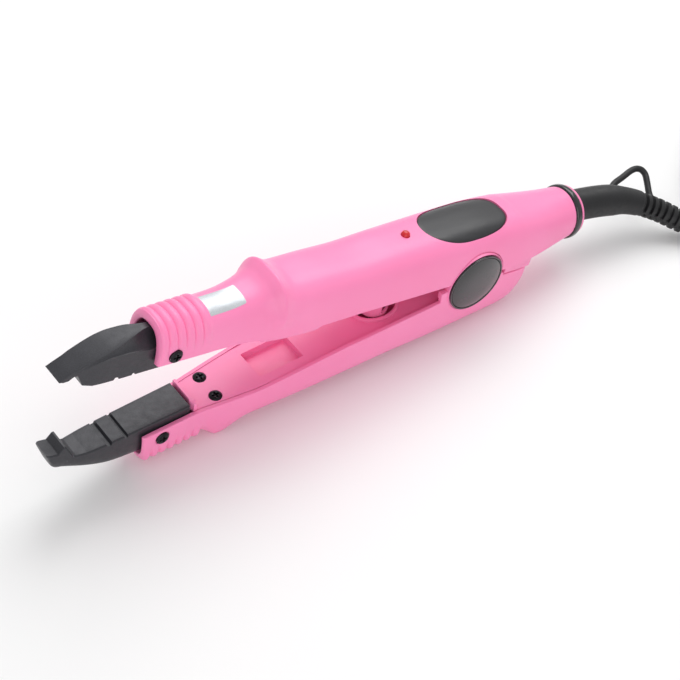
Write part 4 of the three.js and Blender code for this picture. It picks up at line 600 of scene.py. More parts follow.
def plate_black():
    """Dark bare rating plate: satin film with a faint cross grain."""
    made = Finish("bare_dark_plate", 0.4, Coat_Weight=0.2, Coat_Roughness=0.3)
    grain = made.noise(900, 3, stretch=(0.25, 1, 1))
    made.colour(made.between(grain, screen(30, 30, 33), screen(38, 38, 42)))
    made.gloss(grain, 0.34, 0.48)
    return made.relief(made.noise(2600, 2), 0.00001, 0.5).material


def led_red():
    """Clear red moulding of the indicator lamp, cloudier in its middle."""
    made = Finish("clear_red_lamp", 0.3, Coat_Weight=0.3, Coat_Roughness=0.2, Subsurface_Weight=0.3,
                  Subsurface_Scale=0.001)
    made.colour(made.between(made.noise(700, 2), screen(196, 16, 22), screen(212, 30, 34)))
    return made.relief(made.noise(1800, 2), 0.00001, 0.3).material


PINK = pink_plastic()
CHARCOAL = charcoal_coating()
GLOSS = black_gloss()
CAP = cap_gloss()
RUBBER = black_rubber()
DARK_STEEL = black_steel()
STEEL = bright_steel()
CERAMIC = ceramic()
BOARD = board()
SLEEVE = lead_sleeve()
LABEL = silver_label()
PLATE = plate_black()
RED = led_red()


# Camera, light and floor

def photograph_camera():
    """The photograph's own viewpoint, found by matching the iron's corners to the picture."""
    camera = bpy.data.objects.new("camera", bpy.data.cameras.new("camera"))
    bpy.context.collection.objects.link(camera)
    right = (0.799439, -0.59483, 0.084117)
    up = (0.393021, 0.623754, 0.675622)
    back = (-0.454349, -0.507059, 0.732434)
    turn = Matrix((right, up, back)).transposed()
    camera.matrix_world = Matrix.Translation((-0.288531, -0.329707, 0.484779)) @ turn.to_4x4()
    camera.data.sensor_width = 36
    camera.data.lens = 97.7216
    camera.data.clip_start = 0.01
    bpy.context.scene.camera = camera


def soft_lamp(name, place, aim, size, watts):
    """A square lamp at a place, turned to face its aim."""
    light = bpy.data.lights.new(name, "AREA")
    light.shape = "SQUARE"
    light.size = size
    light.energy = watts
    lamp = bpy.data.objects.new(name, light)
    bpy.context.collection.objects.link(lamp)
    lamp.location = place
    direction = np.asarray(aim, float) - np.asarray(place, float)
    lamp.rotation_euler = Vector(direction).to_track_quat("-Z", "Y").to_euler()
    return lamp


def studio():
    """White room for the camera and for reflections, plain soft light for the iron itself."""
    world = bpy.data.worlds.new("studio")
    bpy.context.scene.world = world
    world.use_nodes = True
    nodes, links = world.node_tree.nodes, world.node_tree.links
    nodes["Background"].inputs["Color"].default_value = (1, 1, 1, 1)
    nodes["Background"].inputs["Strength"].default_value = 0.62
    seen = nodes.new("ShaderNodeBackground")
    seen.inputs["Strength"].default_value = 1.0
    path = nodes.new("ShaderNodeLightPath")
    mix = nodes.new("ShaderNodeMixShader")
    links.new(path.outputs["Is Camera Ray"], mix.inputs[0])
    links.new(nodes["Background"].outputs[0], mix.inputs[1])
    links.new(seen.outputs[0], mix.inputs[2])
    links.new(mix.outputs[0], nodes["World Output"].inputs[0])
    soft_lamp("key_lamp", (0.45, 0.35, 0.8), (0, 0, 0.03), 0.8, 6.2)
    soft_lamp("front_lamp", (-0.45, -0.75, 0.4), (0, 0, 0.03), 0.7, 2.2)


def floor():
    """Pale floor that keeps the iron's shadow: a wide sheet, nearly white to the camera."""
    made = Finish("pale_floor", 0.7)
    made.colour(made.mixed(made.noise(6, 2), (0.9, 0.9, 0.9), (0.93, 0.93, 0.93)))
    reach = 3.0
    mesh = bpy.data.meshes.new("floor")
    mesh.from_pydata([(-reach, -reach, 0), (reach, -reach, 0), (reach, reach, 0), (-reach, reach, 0)],
                     [], [(0, 1, 2, 3)])
    sheet = bpy.data.objects.new("floor", mesh)
    mesh.materials.append(made.material)
    bpy.context.collection.objects.link(sheet)


# Cord

CORD_RADIUS = 3.0
END_RING_X = 221.5
TAIL_AXIS_Z = 9.6
BOOT_RISE = 0.9
ELBOW_RADIUS = 5.7
BOOT_ROUTE = [[130.8, -3, 17.5], [140.2, -6.4, 14.9], [149.4, -12, 10.7], [157, -19.6, 6.7],
              [163.5, -28, 5.2], [170, -36.4, 4.6], [176, -44, 4.2]]
SLEEVE_EDGE = 0.4
BOOT_RADII = [[0, 6.35], [0.05, 6.1], [0.25, 5.95], [0.32, 5.3], [0.38, 4.95], [SLEEVE_EDGE, 4.85]]
BOOT_RINGS = 17
BOOT_TIP_RADIUS = 4.6
BOOT_TAPER = 0.6
SLOT_DEPTH = 1.25
SLOT_MIDDLE = -0.12
LOOP_ROUTE = [[134.2, -0.6, 18.2], [135.6, 0.7, 18.7], [137.5, 1.7, 18.9], [143.3, 3.0, 18.6],
              [148.4, 4.1, 18.4], [150.7, 4.3, 18.2], [152.6, 4.0, 17.8], [153.9, 3.1, 17.2],
              [154.3, 1.4, 16.3], [153.5, -0.5, 15.6], [152.3, -2.7, 14.7], [150.9, -5.1, 13.8],
              [150.0, -7.0, 13.0], [149.2, -8.4, 12.5]]
LOOP_RADIUS = 1.25
CORD_Z = 4.2
COIL_RUN = 18.0
COIL_TURNS = 3.5
COIL_PITCH = 6.5
COIL_MEAN_RADIUS = 34.5
COIL_DIP = 1.0
COIL_LEAD = 6.0
TAIL_BEND = 24.0
PLUG_HALF_HEIGHT = 6.5
TURN_STEPS = 96
TIE_TURN_SHARE = 0.533
TIE_HALF_WIDTH = 2.5
TIE_HALF_THICKNESS = 0.4


def boot_path(spacing=0.25):
    """The boot's own bend in the object's frame, in millimetres, from the tail to the table."""
    starts = [upper_place([END_RING_X + FIT_GAP + ahead, 0, TAIL_AXIS_Z + BOOT_RISE]) / MM
              for ahead in (0, ELBOW_RADIUS)]
    return smooth_path([*starts, *BOOT_ROUTE], spacing)


def coil_frame():
    """Where the coil starts, its heading there, its middle and the angle of its start."""
    boot = boot_path()
    heading = (boot[-1] - boot[-2])[:2]
    heading /= np.linalg.norm(heading)
    first = boot[-1][:2] + heading * COIL_RUN
    start = math.atan2(heading[1], heading[0]) - math.pi / 2
    outer = COIL_MEAN_RADIUS + COIL_PITCH * COIL_TURNS / 2
    return first, heading, first - outer * np.array([math.cos(start), math.sin(start)]), start


def around(middle, angle, radius, z):
    """Points at angles and distances from a middle: x = mx + r cos a, y = my + r sin a."""
    angle = np.asarray(angle, float)
    x = middle[0] + radius * np.cos(angle)
    y = middle[1] + radius * np.sin(angle)
    return np.stack([x, y, z + 0 * angle], -1)


def coil_path():
    """Spiral turns inwards on the table, half a turn that climbs, turns back out on top, half a turn
    that climbs again and a quarter bend that ends straight where the plug lies on the coil."""
    _, _, middle, start = coil_frame()
    outer = COIL_MEAN_RADIUS + COIL_PITCH * COIL_TURNS / 2
    inner = outer - COIL_PITCH * COIL_TURNS

    def turn_part(from_turn, turns, radius, z):
        """Places on the coil that many turns on from its start."""
        return around(middle, start + (from_turn + turns) * 2 * np.pi, radius, z)

    turns = np.linspace(0, COIL_TURNS, round(COIL_TURNS * TURN_STEPS) + 1)
    half = np.linspace(0, 0.5, TURN_STEPS // 2 + 1)[1:]
    rise = COIL_PITCH * smooth_step(0, 0.5, half)
    swing = COIL_DIP * np.sin(2 * np.pi * half)
    bend = np.linspace(0, np.pi / 2, TURN_STEPS // 6)[1:]
    bend_middle = around(middle, start, outer - TAIL_BEND, 0)
    top = CORD_Z + 2 * COIL_PITCH
    plug_z = CORD_Z + COIL_PITCH + CORD_RADIUS + FIT_GAP + PLUG_HALF_HEIGHT
    tail_z = top + (plug_z - top) * smooth_step(0, np.pi / 2, bend)
    tail = around(bend_middle, start + bend, TAIL_BEND, tail_z)
    end = around(tail[-1], start + np.pi, COIL_LEAD, plug_z)
    upper_z = CORD_Z + COIL_PITCH
    back_out = turns[1:]
    return np.vstack([turn_part(0, turns, outer - COIL_PITCH * turns, CORD_Z),
                      turn_part(COIL_TURNS, half, inner - swing, CORD_Z + rise),
                      turn_part(COIL_TURNS + 0.5, back_out, inner + COIL_PITCH * back_out, upper_z),
                      turn_part(2 * COIL_TURNS + 0.5, half, outer + swing, upper_z + rise),
                      tail, end[None]])


def cord_path():
    """The cord's whole centre line: from the boot's end over the table, round the coil to the plug."""
    boot = boot_path()
    along = boot[-1] - boot[-2]
    along /= np.linalg.norm(along)
    heading = coil_frame()[1]
    coil = coil_path()
    third = (COIL_RUN - COIL_LEAD) / 3
    level = np.array([heading[0], heading[1], 0])
    free = smooth_path([boot[-1] + along * 0.1, boot[-1] + along * third,
                        coil[0] - level * (COIL_LEAD + third), coil[0] - level * COIL_LEAD, coil[0]], 1.5)
    return even_path(np.vstack([free, coil[1:]]), 1.6)


def cord_boot():
    """Moulded boot: a smooth elbow, then a ribbed end whose slots are staggered round the cord.

    The radius follows the path: it flares into the ring, holds the elbow's size, steps down at the
    sleeve's edge, then tapers and dips in each slot."""
    path = boot_path(0.2)
    share = shares_along(path)[:, None]
    sides = 72
    angle = np.linspace(0, 2 * np.pi, sides, endpoint=False)[None, :]
    elbow = read_table(BOOT_RADII, share[:, 0])[:, :1]
    along = np.clip((share - SLEEVE_EDGE) / (1 - SLEEVE_EDGE), 0, 1)
    body = BOOT_TIP_RADIUS - BOOT_TAPER * along
    turn = along * BOOT_RINGS + 0.5 * (np.sin(angle) < SLOT_MIDDLE)
    slot = smooth_step(0.5, 0.8, 0.5 - 0.5 * np.cos(2 * np.pi * turn))
    open_side = smooth_step(0.05, 0.25, np.abs(np.sin(angle) - SLOT_MIDDLE))
    ribbed = body - SLOT_DEPTH * slot * open_side * smooth_step(0.01, 0.03, along)
    radius = np.where(share < SLEEVE_EDGE, elbow, ribbed)
    tip = rounded_end(share, 1.0, 0.012, -1) * 60
    return seat(swept("cord_boot_moulding", path, radius - np.minimum(tip, 0.7), table_place, RUBBER, sides,
                      crease=30), "handle", "black_rubber", "cord_boot")


def hang_loop():
    """Bent rod on the boot's outer side, its two feet swelling into the boot."""
    bend = smooth_path(LOOP_ROUTE, 0.25)
    at = shares_along(bend)
    radius = LOOP_RADIUS + 0.6 * np.exp(-(np.minimum(at, 1 - at) / 0.045) ** 2)
    rod = swept("hang_loop_rod", bend, radius[:, None], table_place, RUBBER, 28)
    return seat(rod, "handle", "black_rubber", "hang_loop")


def mains_cord(pieces_on_it):
    """Round sheathed mains lead along the whole centre line."""
    path = cord_path()
    tube = swept("mains_lead", path, CORD_RADIUS, table_place, RUBBER, 18)
    seat(tube, "handle", "black_rubber", "mains_cord", "cord_coil")


def cord_tie():
    """Rubber strap round the coil: a thin rounded band carried round a rounded frame."""
    half = COIL_PITCH * COIL_TURNS / 2 + CORD_RADIUS + 2 * FIT_GAP + TIE_HALF_THICKNESS
    low = CORD_Z - CORD_RADIUS - FIT_GAP - TIE_HALF_THICKNESS
    high = CORD_Z + COIL_PITCH + CORD_RADIUS + FIT_GAP + TIE_HALF_THICKNESS
    frame_line = rounded_box(-half, low, half, high, 3.4, 10)
    along = np.roll(frame_line, -1, 0) - np.roll(frame_line, 1, 0)
    outward = np.stack([along[:, 1], -along[:, 0]], -1) / np.linalg.norm(along, axis=1)[:, None]
    band = rounded_box(-TIE_HALF_WIDTH, -TIE_HALF_THICKNESS, TIE_HALF_WIDTH, TIE_HALF_THICKNESS, 0.3, 3)
    across = frame_line[:, None, :] + outward[:, None, :] * band[None, :, 1:2]
    width = np.broadcast_to(band[None, :, 0], across.shape[:2])
    rings = np.stack([across[..., 0], width, across[..., 1]], -1)
    _, _, coil_middle, start = coil_frame()
    angle = start + TIE_TURN_SHARE * 2 * math.pi
    middle = around(coil_middle, angle, COIL_MEAN_RADIUS, 0)
    placed = np.array(rings)
    placed[..., 0] = middle[0] + rings[..., 0] * math.cos(angle) - rings[..., 1] * math.sin(angle)
    placed[..., 1] = middle[1] + rings[..., 0] * math.sin(angle) + rings[..., 1] * math.cos(angle)
    return seat(hoop("coil_strap", placed, table_place, RUBBER), "handle", "black_rubber", "cord_tie")


PLUG_TABLE = [[0, 0, 0], [0.2, 0.08, 0.1], [0.38, 0.5, 0.5], [0.55, 0.85, 0.85], [0.7, 0.97, 1], [0.92, 1, 1],
              [1, 0.93, 0.9]]
PLUG_LENGTH = 34.0
PLUG_NECK = 4.4
PLUG_HALF_WIDTH = 17.5
PIN_Y = 9.3
PIN_LENGTH = 19.0


def plug_frame():
    """The plug's place at the cord's end and the direction that it points in, level with the table."""
    path = coil_path()
    along = path[-1] - path[-2]
    along[2] = 0
    return path[-1] + FIT_GAP * along / np.linalg.norm(along), along / np.linalg.norm(along)


def plug_place(points):
    """Plug coordinates, X towards the pins, moved to the cord's end and into metres."""
    origin, along = plug_frame()
    side = np.array([-along[1], along[0], 0])
    points = np.asarray(points, float)
    return (origin + points[..., :1] * along + points[..., 1:2] * side + points[..., 2:] * [0, 0, 1]) * MM


def plug():
    """Flat two-pin plug: a lofted body with a ribbed neck and finger grooves, and two round pins."""
    x = spread((0, 12, 0.25), (12, 33, 0.35), (33, 34, 0.1))
    shape = read_table(PLUG_TABLE, x / PLUG_LENGTH)
    grip = 0.35 * smooth_step(15, 17, x) * (1 - smooth_step(27, 29, x))
    grip = grip * (0.5 - 0.5 * np.cos(2 * np.pi * (x - 15) / 2.2))
    neck = 0.5 * smooth_step(0.6, 1.5, x) * (1 - smooth_step(7, 8.5, x))
    neck = neck * (0.5 - 0.5 * np.cos(2 * np.pi * x / 1.9))
    half = PLUG_NECK + (PLUG_HALF_WIDTH - PLUG_NECK) * shape[:, 0] - neck - 0.6 * grip
    tall = PLUG_NECK + (PLUG_HALF_HEIGHT - PLUG_NECK) * shape[:, 1] - neck - grip
    angles = np.linspace(0, 2 * np.pi, 72, endpoint=False)
    rings = arch(x, half, tall, 2.6, 0, angles)
    body = loft("plug_moulding", rings, plug_place, RUBBER)
    seat(body, "handle", "black_rubber", "plug_body")
    pins = []
    for letter, y in (("a", PIN_Y), ("b", -PIN_Y)):
        start, end = PLUG_LENGTH + 0.1, PLUG_LENGTH + PIN_LENGTH
        profile = [(0, start), (2, start), (2, end - 1.2), (1.85, end - 0.6), (1.4, end - 0.15),
                   (0.8, end), (0, end)]
        pin = spun(f"plug_pin_{letter}_turned", profile, (0, y, 0), "X", plug_place, STEEL, 32)
        pins.append(seat(pin, "handle", "bright_steel", f"plug_pin_{letter}"))
    return [body, *pins]


# Outlines of the arms

UPPER_OUTLINE = [
    [0.15, 0.66, 0.74, 2.4], [0.23, 0.69, 0.755, 2.4], [0.265, 0.7, 0.76, 2.4],
    [0.29, 0.712, 0.772, 2.5], [0.312, 0.735, 0.815, 2.7], [0.331, 0.785, 0.875, 2.8],
    [0.344, 0.86, 0.955, 2.8], [0.354, 0.955, 1.055, 2.9], [0.3605, 1, 1.105, 2.9],
    [0.368, 0.985, 1.055, 2.9], [0.38, 0.965, 0.975, 2.9], [0.394, 0.95, 0.93, 3],
    [0.454, 0.957, 0.915, 3], [0.52, 0.957, 0.89, 3], [0.585, 0.971, 0.93, 3],
    [0.65, 0.986, 0.955, 3], [0.715, 0.996, 0.98, 3], [0.785, 1, 1, 3],
    [0.858, 0.978, 0.955, 3], [0.872, 0.965, 0.91, 3], [0.922, 0.885, 0.732, 2.6], [0.963, 0.79, 0.618, 2.2],
    [1, 0.7, 0.539, 2]]
FLANK_FOOT = [[0.265, 0.7], [0.29, 0.725], [0.33, 0.81], [0.37, 0.9], [0.41, 0.95]]
TAIL_OUTLINE = [[0.82, 0, 0], [0.853, 0, 0.111], [0.872, 0.017, 0.11], [0.922, 0.133, 0.265],
                [0.963, 0.233, 0.43], [1, 0.311, 0.539]]
LOWER_OUTLINE = [
    [0.145, 0.555, 0.74, 3], [0.156, 0.58, 0.8, 3], [0.24, 0.59, 0.805, 3], [0.257, 0.61, 0.8, 3.2],
    [0.268, 0.635, 0.88, 3.6], [0.281, 0.66, 1.01, 4], [0.294, 0.69, 1, 4], [0.311, 0.725, 0.9, 4.2],
    [0.332, 0.765, 0.795, 4.5], [0.36, 0.81, 0.78, 4.5], [0.413, 0.855, 0.8, 4.5], [0.47, 0.895, 0.81, 4.5],
    [0.54, 0.94, 0.82, 4.5], [0.605, 0.96, 0.845, 4.5], [0.674, 0.98, 0.9, 4.5], [0.743, 0.985, 0.94, 4.5],
    [0.82, 0.985, 0.98, 4.5], [0.85, 0.975, 0.997, 4.2], [0.868, 0.955, 0.93, 4], [0.882, 0.92, 0.76, 3.6],
    [0.889, 0.87, 0.55, 3.2]]
BARREL_FRONT_X = 33.0
FIRST_RIB_X = 34.9
RIB_PITCH = 3.25
RIB_HEIGHT = 0.85
RIB_SHARPNESS = 0.75
EAR_RADIUS = 12.5
EAR_ROOM_RADIUS = 12.75
EAR_INNER_Y = 11.4


def rib_swell(x, first, count):
    """Rounded ribs with narrow grooves: the rib's height times |cos| of half a turn per pitch."""
    turns = (np.asarray(x, float) - first) / RIB_PITCH
    inside = (turns >= -0.5) & (turns <= count - 0.5)
    return np.where(inside, RIB_HEIGHT * np.abs(np.cos(np.pi * turns)) ** RIB_SHARPNESS, 0)


def upper_size(x):
    """Half width, height and squareness of the upper arm's outside at each place, ribs left out."""
    size = read_table(UPPER_OUTLINE, np.asarray(x) / ARM_LENGTH)
    rim = 0.35 * (1 - smooth_step(33.6, 34.0, x))
    swell = rim - rounded_end(np.asarray(x, float), BARREL_FRONT_X, 1.5, 1)
    return size[:, 0] * HALF_WIDTH + swell, size[:, 1] * UPPER_HEIGHT + swell, size[:, 2]


def upper_top(x, y):
    """Height of the upper arm's crown over a place: base + height (1 - |y/half|^p)^(1/p)."""
    half, rise, squareness = upper_size(x)
    return UPPER_EDGE_Z + rise * np.clip(1 - np.abs(y / half) ** squareness, 0, 1) ** (1 / squareness)


def cylinder_tool(name, radius, low, high, centre, axis, place, sides=96):
    """A plain round cutter, which is used up by the cut."""
    middle = radius * 0.5
    profile = [(0, low), (middle, low), (radius, low), (radius, high), (middle, high), (0, high)]
    return spun(name, profile, centre, axis, place, PINK, sides)


def plate_outline(grow):
    """The plate's egg-shaped outline: a superellipse, rounder in front and squarer behind."""
    angle = np.linspace(0, 2 * np.pi, 128, endpoint=False)
    squareness = 2.55 + 0.25 * np.cos(angle)
    x = 164.6 + (18.6 + grow) * power(np.cos(angle), 2 / squareness)
    y = (9.7 + grow) * power(np.sin(angle), 2 / squareness)
    return np.column_stack([x, y])


def foot_half(x, half):
    """Half width at the foot of the flanks, which the bulge's crest doesn't reach."""
    share = np.asarray(x) / ARM_LENGTH
    low, high = FLANK_FOOT[0][0], FLANK_FOOT[-1][0]
    return np.where((share > low) & (share < high), HALF_WIDTH * read_table(FLANK_FOOT, share)[:, 0], half)


def tail_seam(x):
    """Depth of the fine seam line along both sides of the tail."""
    return 0.28 * smooth_step(195.5, 197, x)


def upper_skin():
    """Outside of the upper arm: an arch over a flat underside that closes to an oval at the tail."""
    x = spread((33, 34.5, 0.14), (34.5, 50, 0.155), (50, 66, 0.8), (66, 86, 0.3), (86, 178, 1.6),
               (178, 218, 0.8))
    half, rise, squareness = upper_size(x)
    tail = read_table(TAIL_OUTLINE, x / ARM_LENGTH)
    rim = 0.4 * (1 - smooth_step(178, 186, x))
    base = UPPER_EDGE_Z + tail[:, 0] * UPPER_HEIGHT
    ribs = rib_swell(x, FIRST_RIB_X, 6)
    narrow = foot_half(x, half)
    foot = arch(x, narrow, rise - rim, squareness, base + rim, even_angles(84))
    ribbed = arch(x, half + ribs, rise - rim + ribs, squareness, base + rim, even_angles(84))
    above = foot + (ribbed - foot) * smooth_step(6, 13, foot[..., 2:])
    last = above.shape[1] - 1
    at_edge = np.arange(last + 1) % last == 0
    above[..., 1] -= np.sign(above[..., 1]) * tail_seam(x)[:, None] * at_edge
    low_squareness = squareness + (9 - squareness) * rim / 0.4
    below = arch(x, narrow, tail[:, 1] * UPPER_HEIGHT + rim, low_squareness, base + rim,
                 -np.pi + np.linspace(0, np.pi, 41)[1:-1])
    return loft("upper_arm_housing", np.concatenate([above, below], 1), upper_place, PINK)


def upper_room():
    """The upper arm's hollow, its walls kept even."""
    x = spread((57, 184, 1.5))
    half, rise, squareness = upper_size(x)
    half = np.minimum(half, foot_half(x, half))
    rings = arch(x, half - WALL, rise - TOP_WALL + 1, squareness, UPPER_EDGE_Z - 1, even_angles(48))
    return loft("room", rings, upper_place, PINK)


def upper_bore():
    """The barrel's bore for the jaw, eased open at its mouth."""
    x = np.array([31.5, 33, 33.1, 33.25, 33.5, 33.8, 40, 48, 58])
    ease = rounded_end(x, 33.0, 0.7, 1)
    rings = arch(x, BORE_HALF + ease, BORE_TOP_Z + ease, 3, 0, even_angles(48))
    return loft("bore", rings, upper_place, PINK)


def lip_rings(x, half, side, section):
    """Rings of a lip along X: for each inset and z of its section, y = side (half - inset)."""
    return np.stack([np.stack([x, side * (half - inset), z], -1) for inset, z in section], 1)


def skirt(side):
    """Thin lip under one side of the arm near the bulge, its ends sloped off."""
    x = spread((71, 98.5, 0.9))
    half = foot_half(x, upper_size(x)[0])
    drop = 1.5 * np.minimum(smooth_step(71, 73, x), 1 - smooth_step(94, 98.5, x))
    top = UPPER_EDGE_Z + 1 + 0 * x
    low = UPPER_EDGE_Z - drop
    section = [(0.35, top), (0.35, low + 0.3), (0.5, low + 0.06), (0.8, low), (WALL - 0.3, low),
               (WALL - 0.02, low + 0.2), (WALL - 0.02, top)]
    return loft("skirt", lip_rings(x, half, side, section), upper_place, PINK)


def rear_skirt(side):
    """Side wall that hangs flush with the flank behind the pivot, down to the lower arm's edge."""
    x = spread((181.2, 194.6, 0.9))
    half = upper_size(x)[0] - 0.03
    top = UPPER_EDGE_Z + read_table(TAIL_OUTLINE, x / ARM_LENGTH)[:, 0] * UPPER_HEIGHT
    low = np.interp(x, [181.2, 194.6], [1.65, 0.95])
    section = [(0.12, top + 1.2), (0, top + 0.4), (0, low + 0.3), (0.1, low + 0.08), (0.35, low),
               (1.6, low), (1.9, low + 0.25), (1.9, top + 1.2)]
    return loft("rear_skirt", lip_rings(x, half, side, section), upper_place, PINK)


def pivot_cheek(side):
    """Flat disc with a stem inside the arm, which the pivot pin runs through."""
    disc = [(0, 9.1), (8.8, 9.1), (9, 9.3), (9, 10.9), (8.8, 11.1), (0, 11.1)]
    return spun("cheek", [(r, side * h) for r, h in disc], PIVOT, "Y", upper_place, PINK)


def upper_housing():
    """The moulded upper arm with its hollow, barrel bore, plate recess, lamp hole and ear clearances."""
    shell = upper_skin()
    recess = pad("recess", plate_outline(0.3), TOOL_LEVELS, lambda x, y: upper_top(x, y) - 0.95,
                 lambda x, y: upper_top(x, y) + 2, upper_place, PINK)
    ears = [cylinder_tool("ear_room", EAR_ROOM_RADIUS, side * 11.25, side * 16, PIVOT, "Y", upper_place, 160)
            for side in (1, -1)]
    screw_at = (JAW_SCREW_X, 0, JAW_SCREW_Z)
    seats = [cylinder_tool("screw_seat", 2.55, side * 8.7, side * 14, screw_at, "Y", upper_place, 64)
             for side in (1, -1)]
    lamp_hole = cylinder_tool("lamp_hole", 1.72, 8, 24, (LAMP_X, 0, 0), "Z", upper_place, 48)
    cuts = [upper_room(), upper_bore(), recess, lamp_hole, *ears, *seats]
    shell = carve(shell, cuts, [skirt(1), skirt(-1), rear_skirt(1), rear_skirt(-1)])
    seat(shell, "handle", "pink_plastic", "upper_shell")
    for side, where in SIDES:
        cheek = pivot_cheek(side)
        cheek.name = f"pivot_cheek_{where}"
        seat(cheek, "handle", "pink_plastic")
    return shell


def lid_rings(x, half, low, high):
    """Sections of a flat lid across X: y = -half to half, z from low to high, edges rounded."""
    section = rounded_box(-1, low, 1, high, 0.12, 3)
    along = x[:, None] + 0 * section[:, 0]
    return np.stack([along, half[:, None] * section[:, 0], section[:, 1] + 0 * x[:, None]], -1)


def upper_cover():
    """Inner cover: a slab between the side walls, with the hollow, slotted spring post under it."""
    x = spread((58.3, 153, 1.2))
    half = upper_size(x)[0]
    half = np.minimum(half, foot_half(x, half)) - WALL - FIT_GAP
    lid = loft("upper_inner_lid", lid_rings(x, half, 4.3, 6.1), upper_place, PINK)
    profile = [(0, 5.3), (5.6, 5.3), (5.6, -10.1), (5.5, -10.3), (5.3, -10.4), (0, -10.4)]
    post = spun("post", profile, (POST_X, 0, 0), "Z", upper_place, PINK)
    facing = math.radians(-70)
    mouth = np.array([(3.4, -2.5), (7, -2.5), (7, 2.5), (3.4, 2.5)])
    mouth = np.column_stack([POST_X + mouth[:, 0] * math.cos(facing) - mouth[:, 1] * math.sin(facing),
                             mouth[:, 0] * math.sin(facing) + mouth[:, 1] * math.cos(facing)])
    cuts = [cylinder_tool("post_bore", 4.6, -12, 8, (POST_X, 0, 0), "Z", upper_place, 90),
            slab("slot", filleted(mouth, 0.5, 3), -8.2, 3.6, 0.1, "XY", upper_place, PINK)]
    cuts += [cylinder_tool("screw_seat", 2.6, 3.0, 4.9, (COVER_SCREW_X, side * COVER_SCREW_Y, 0), "Z",
                           upper_place, 48) for side in (1, -1)]
    lid = carve(lid, cuts, [post])
    return seat(lid, "handle", "pink_plastic", "upper_inner_cover")


# Jaws

JAW_WIDTHS = [[-1.6, 0.6], [0, 0.65], [5.2, 0.66], [13, 0.84], [19.8, 0.9], [27, 0.93], [52, 1]]
UPPER_JAW_FOOT = [(-0.2, 4.95), (0, 4.9), (1.6, 4.2), (3.4, 4.2), (5.2, 5.4), (6.6, 5.4), (8.6, 1.1),
                  (12, 0.15), (52, 0.15)]
SPOON_TOP = [[0, 5.15], [7, 8.5], [13, 10.9], [19, 12.9], [25, 14.25], [30, 14.7], [34, 14.75], [52, 14.75]]
SPOON_HALF = [[0, 3.95], [7, 4.35], [15, 4.7], [19.5, 4.4], [22, 3.9], [26.2, 2.9], [30, 1.6],
              [34, 1.0], [52, 1.0]]
SPOON_SIDE = [[0, 5.05], [7, 7.55], [12, 9.45], [17.4, 10.6], [23.5, 10.5], [31, 9.6], [52, 9.3]]
GROOVES = [(20.5, 1.1, 1.2), (26.8, 0.75, 1.0)]


def groove_depth(x):
    """Depth of the cross grooves in the jaws' meeting faces: steep sides and a level bottom."""
    depth = np.zeros_like(x)
    for place, half, deep in GROOVES:
        depth = np.maximum(depth, deep * np.clip(2.2 * (1 - np.abs(x - place) / half), 0, 1))
    return depth


def jaw_stations(breaks, low, high):
    """Even stations with every break of the side outline among them."""
    even = np.linspace(low, high, round((high - low) / 0.4) + 1)
    near = np.concatenate([np.array(breaks) + shift for shift in (-0.12, -0.04, 0.04, 0.12)])
    return np.unique(np.round(np.clip(np.concatenate([even, near]), low, high), 3))


def groove_breaks():
    """Where a groove's sides start and end, before and behind its middle."""
    return [place + sign * half * share for place, half, _ in GROOVES for sign in (-1, 1)
            for share in (0.545, 1)]


def column(values):
    """Values as one column, so that they spread over the places of a section."""
    return np.asarray(values)[:, None]


def upper_jaw():
    """Cast upper jaw. Its half section runs along the foot, round the corner, up the side wall, in
    over a hollow flank to the crease, and across the slightly dished spoon face; then it mirrors."""
    x = jaw_stations([p[0] for p in UPPER_JAW_FOOT[1:]] + groove_breaks(), 0, 52)
    half = JAW_HALF * read_table(JAW_WIDTHS, x)[:, 0]
    foot = np.interp(x, *zip(*UPPER_JAW_FOOT))
    top = read_table(SPOON_TOP, x)[:, 0]
    crease = np.minimum(read_table(SPOON_HALF, x)[:, 0], half - 0.05)
    side = np.minimum(read_table(SPOON_SIDE, x)[:, 0], top - 0.06)
    side = np.maximum(side, foot + 0.1)
    corner = np.minimum(0.45, (side - foot) * 0.45)
    quarter = np.linspace(0, np.pi / 2, 5)
    t = np.linspace(0, 1, 12)[1:]
    foot_y = column(half - corner) * np.array([0, 0.3, 0.6, 0.85])
    foot_z = column(foot) + 0 * foot_y
    corner_y = column(half - corner) + column(corner) * np.sin(quarter)
    corner_z = column(foot + corner) - column(corner) * np.cos(quarter)
    wall = np.linspace(0, 1, 6)[1:]
    wall_y = column(half) + 0 * wall
    wall_z = column(foot + corner) + column(side - foot - corner) * wall
    flank_y = column(half) + column(crease - half) * t
    flank_z = column(side) + column(top - side) * t ** 1.9
    face = np.array([0.94, 0.8, 0.6, 0.35])
    face_y = column(crease) * face
    dish = 0.2 * smooth_step(2, 8, x) * (1 - smooth_step(24, 33, x))
    face_z = column(top) - column(dish) * (1 - face ** 4)
    y = np.concatenate([foot_y, corner_y, wall_y, flank_y, face_y], 1)
    z = np.concatenate([foot_z, corner_z, wall_z, flank_z, face_z], 1)
    centre_top = (top - dish)[:, None]
    ring_y = np.concatenate([y, 0 * centre_top, -y[:, :0:-1]], 1)
    ring_z = np.concatenate([z, centre_top, z[:, :0:-1]], 1)
    ring_z = np.maximum(ring_z, column(foot + groove_depth(x)))
    rings = np.stack([column(x) + 0 * ring_y, ring_y, ring_z], -1)
    casting = loft("upper_jaw_casting", rings, upper_place, CHARCOAL, crease=28)
    return seat(casting, "handle", "charcoal_coating", "upper_jaw")


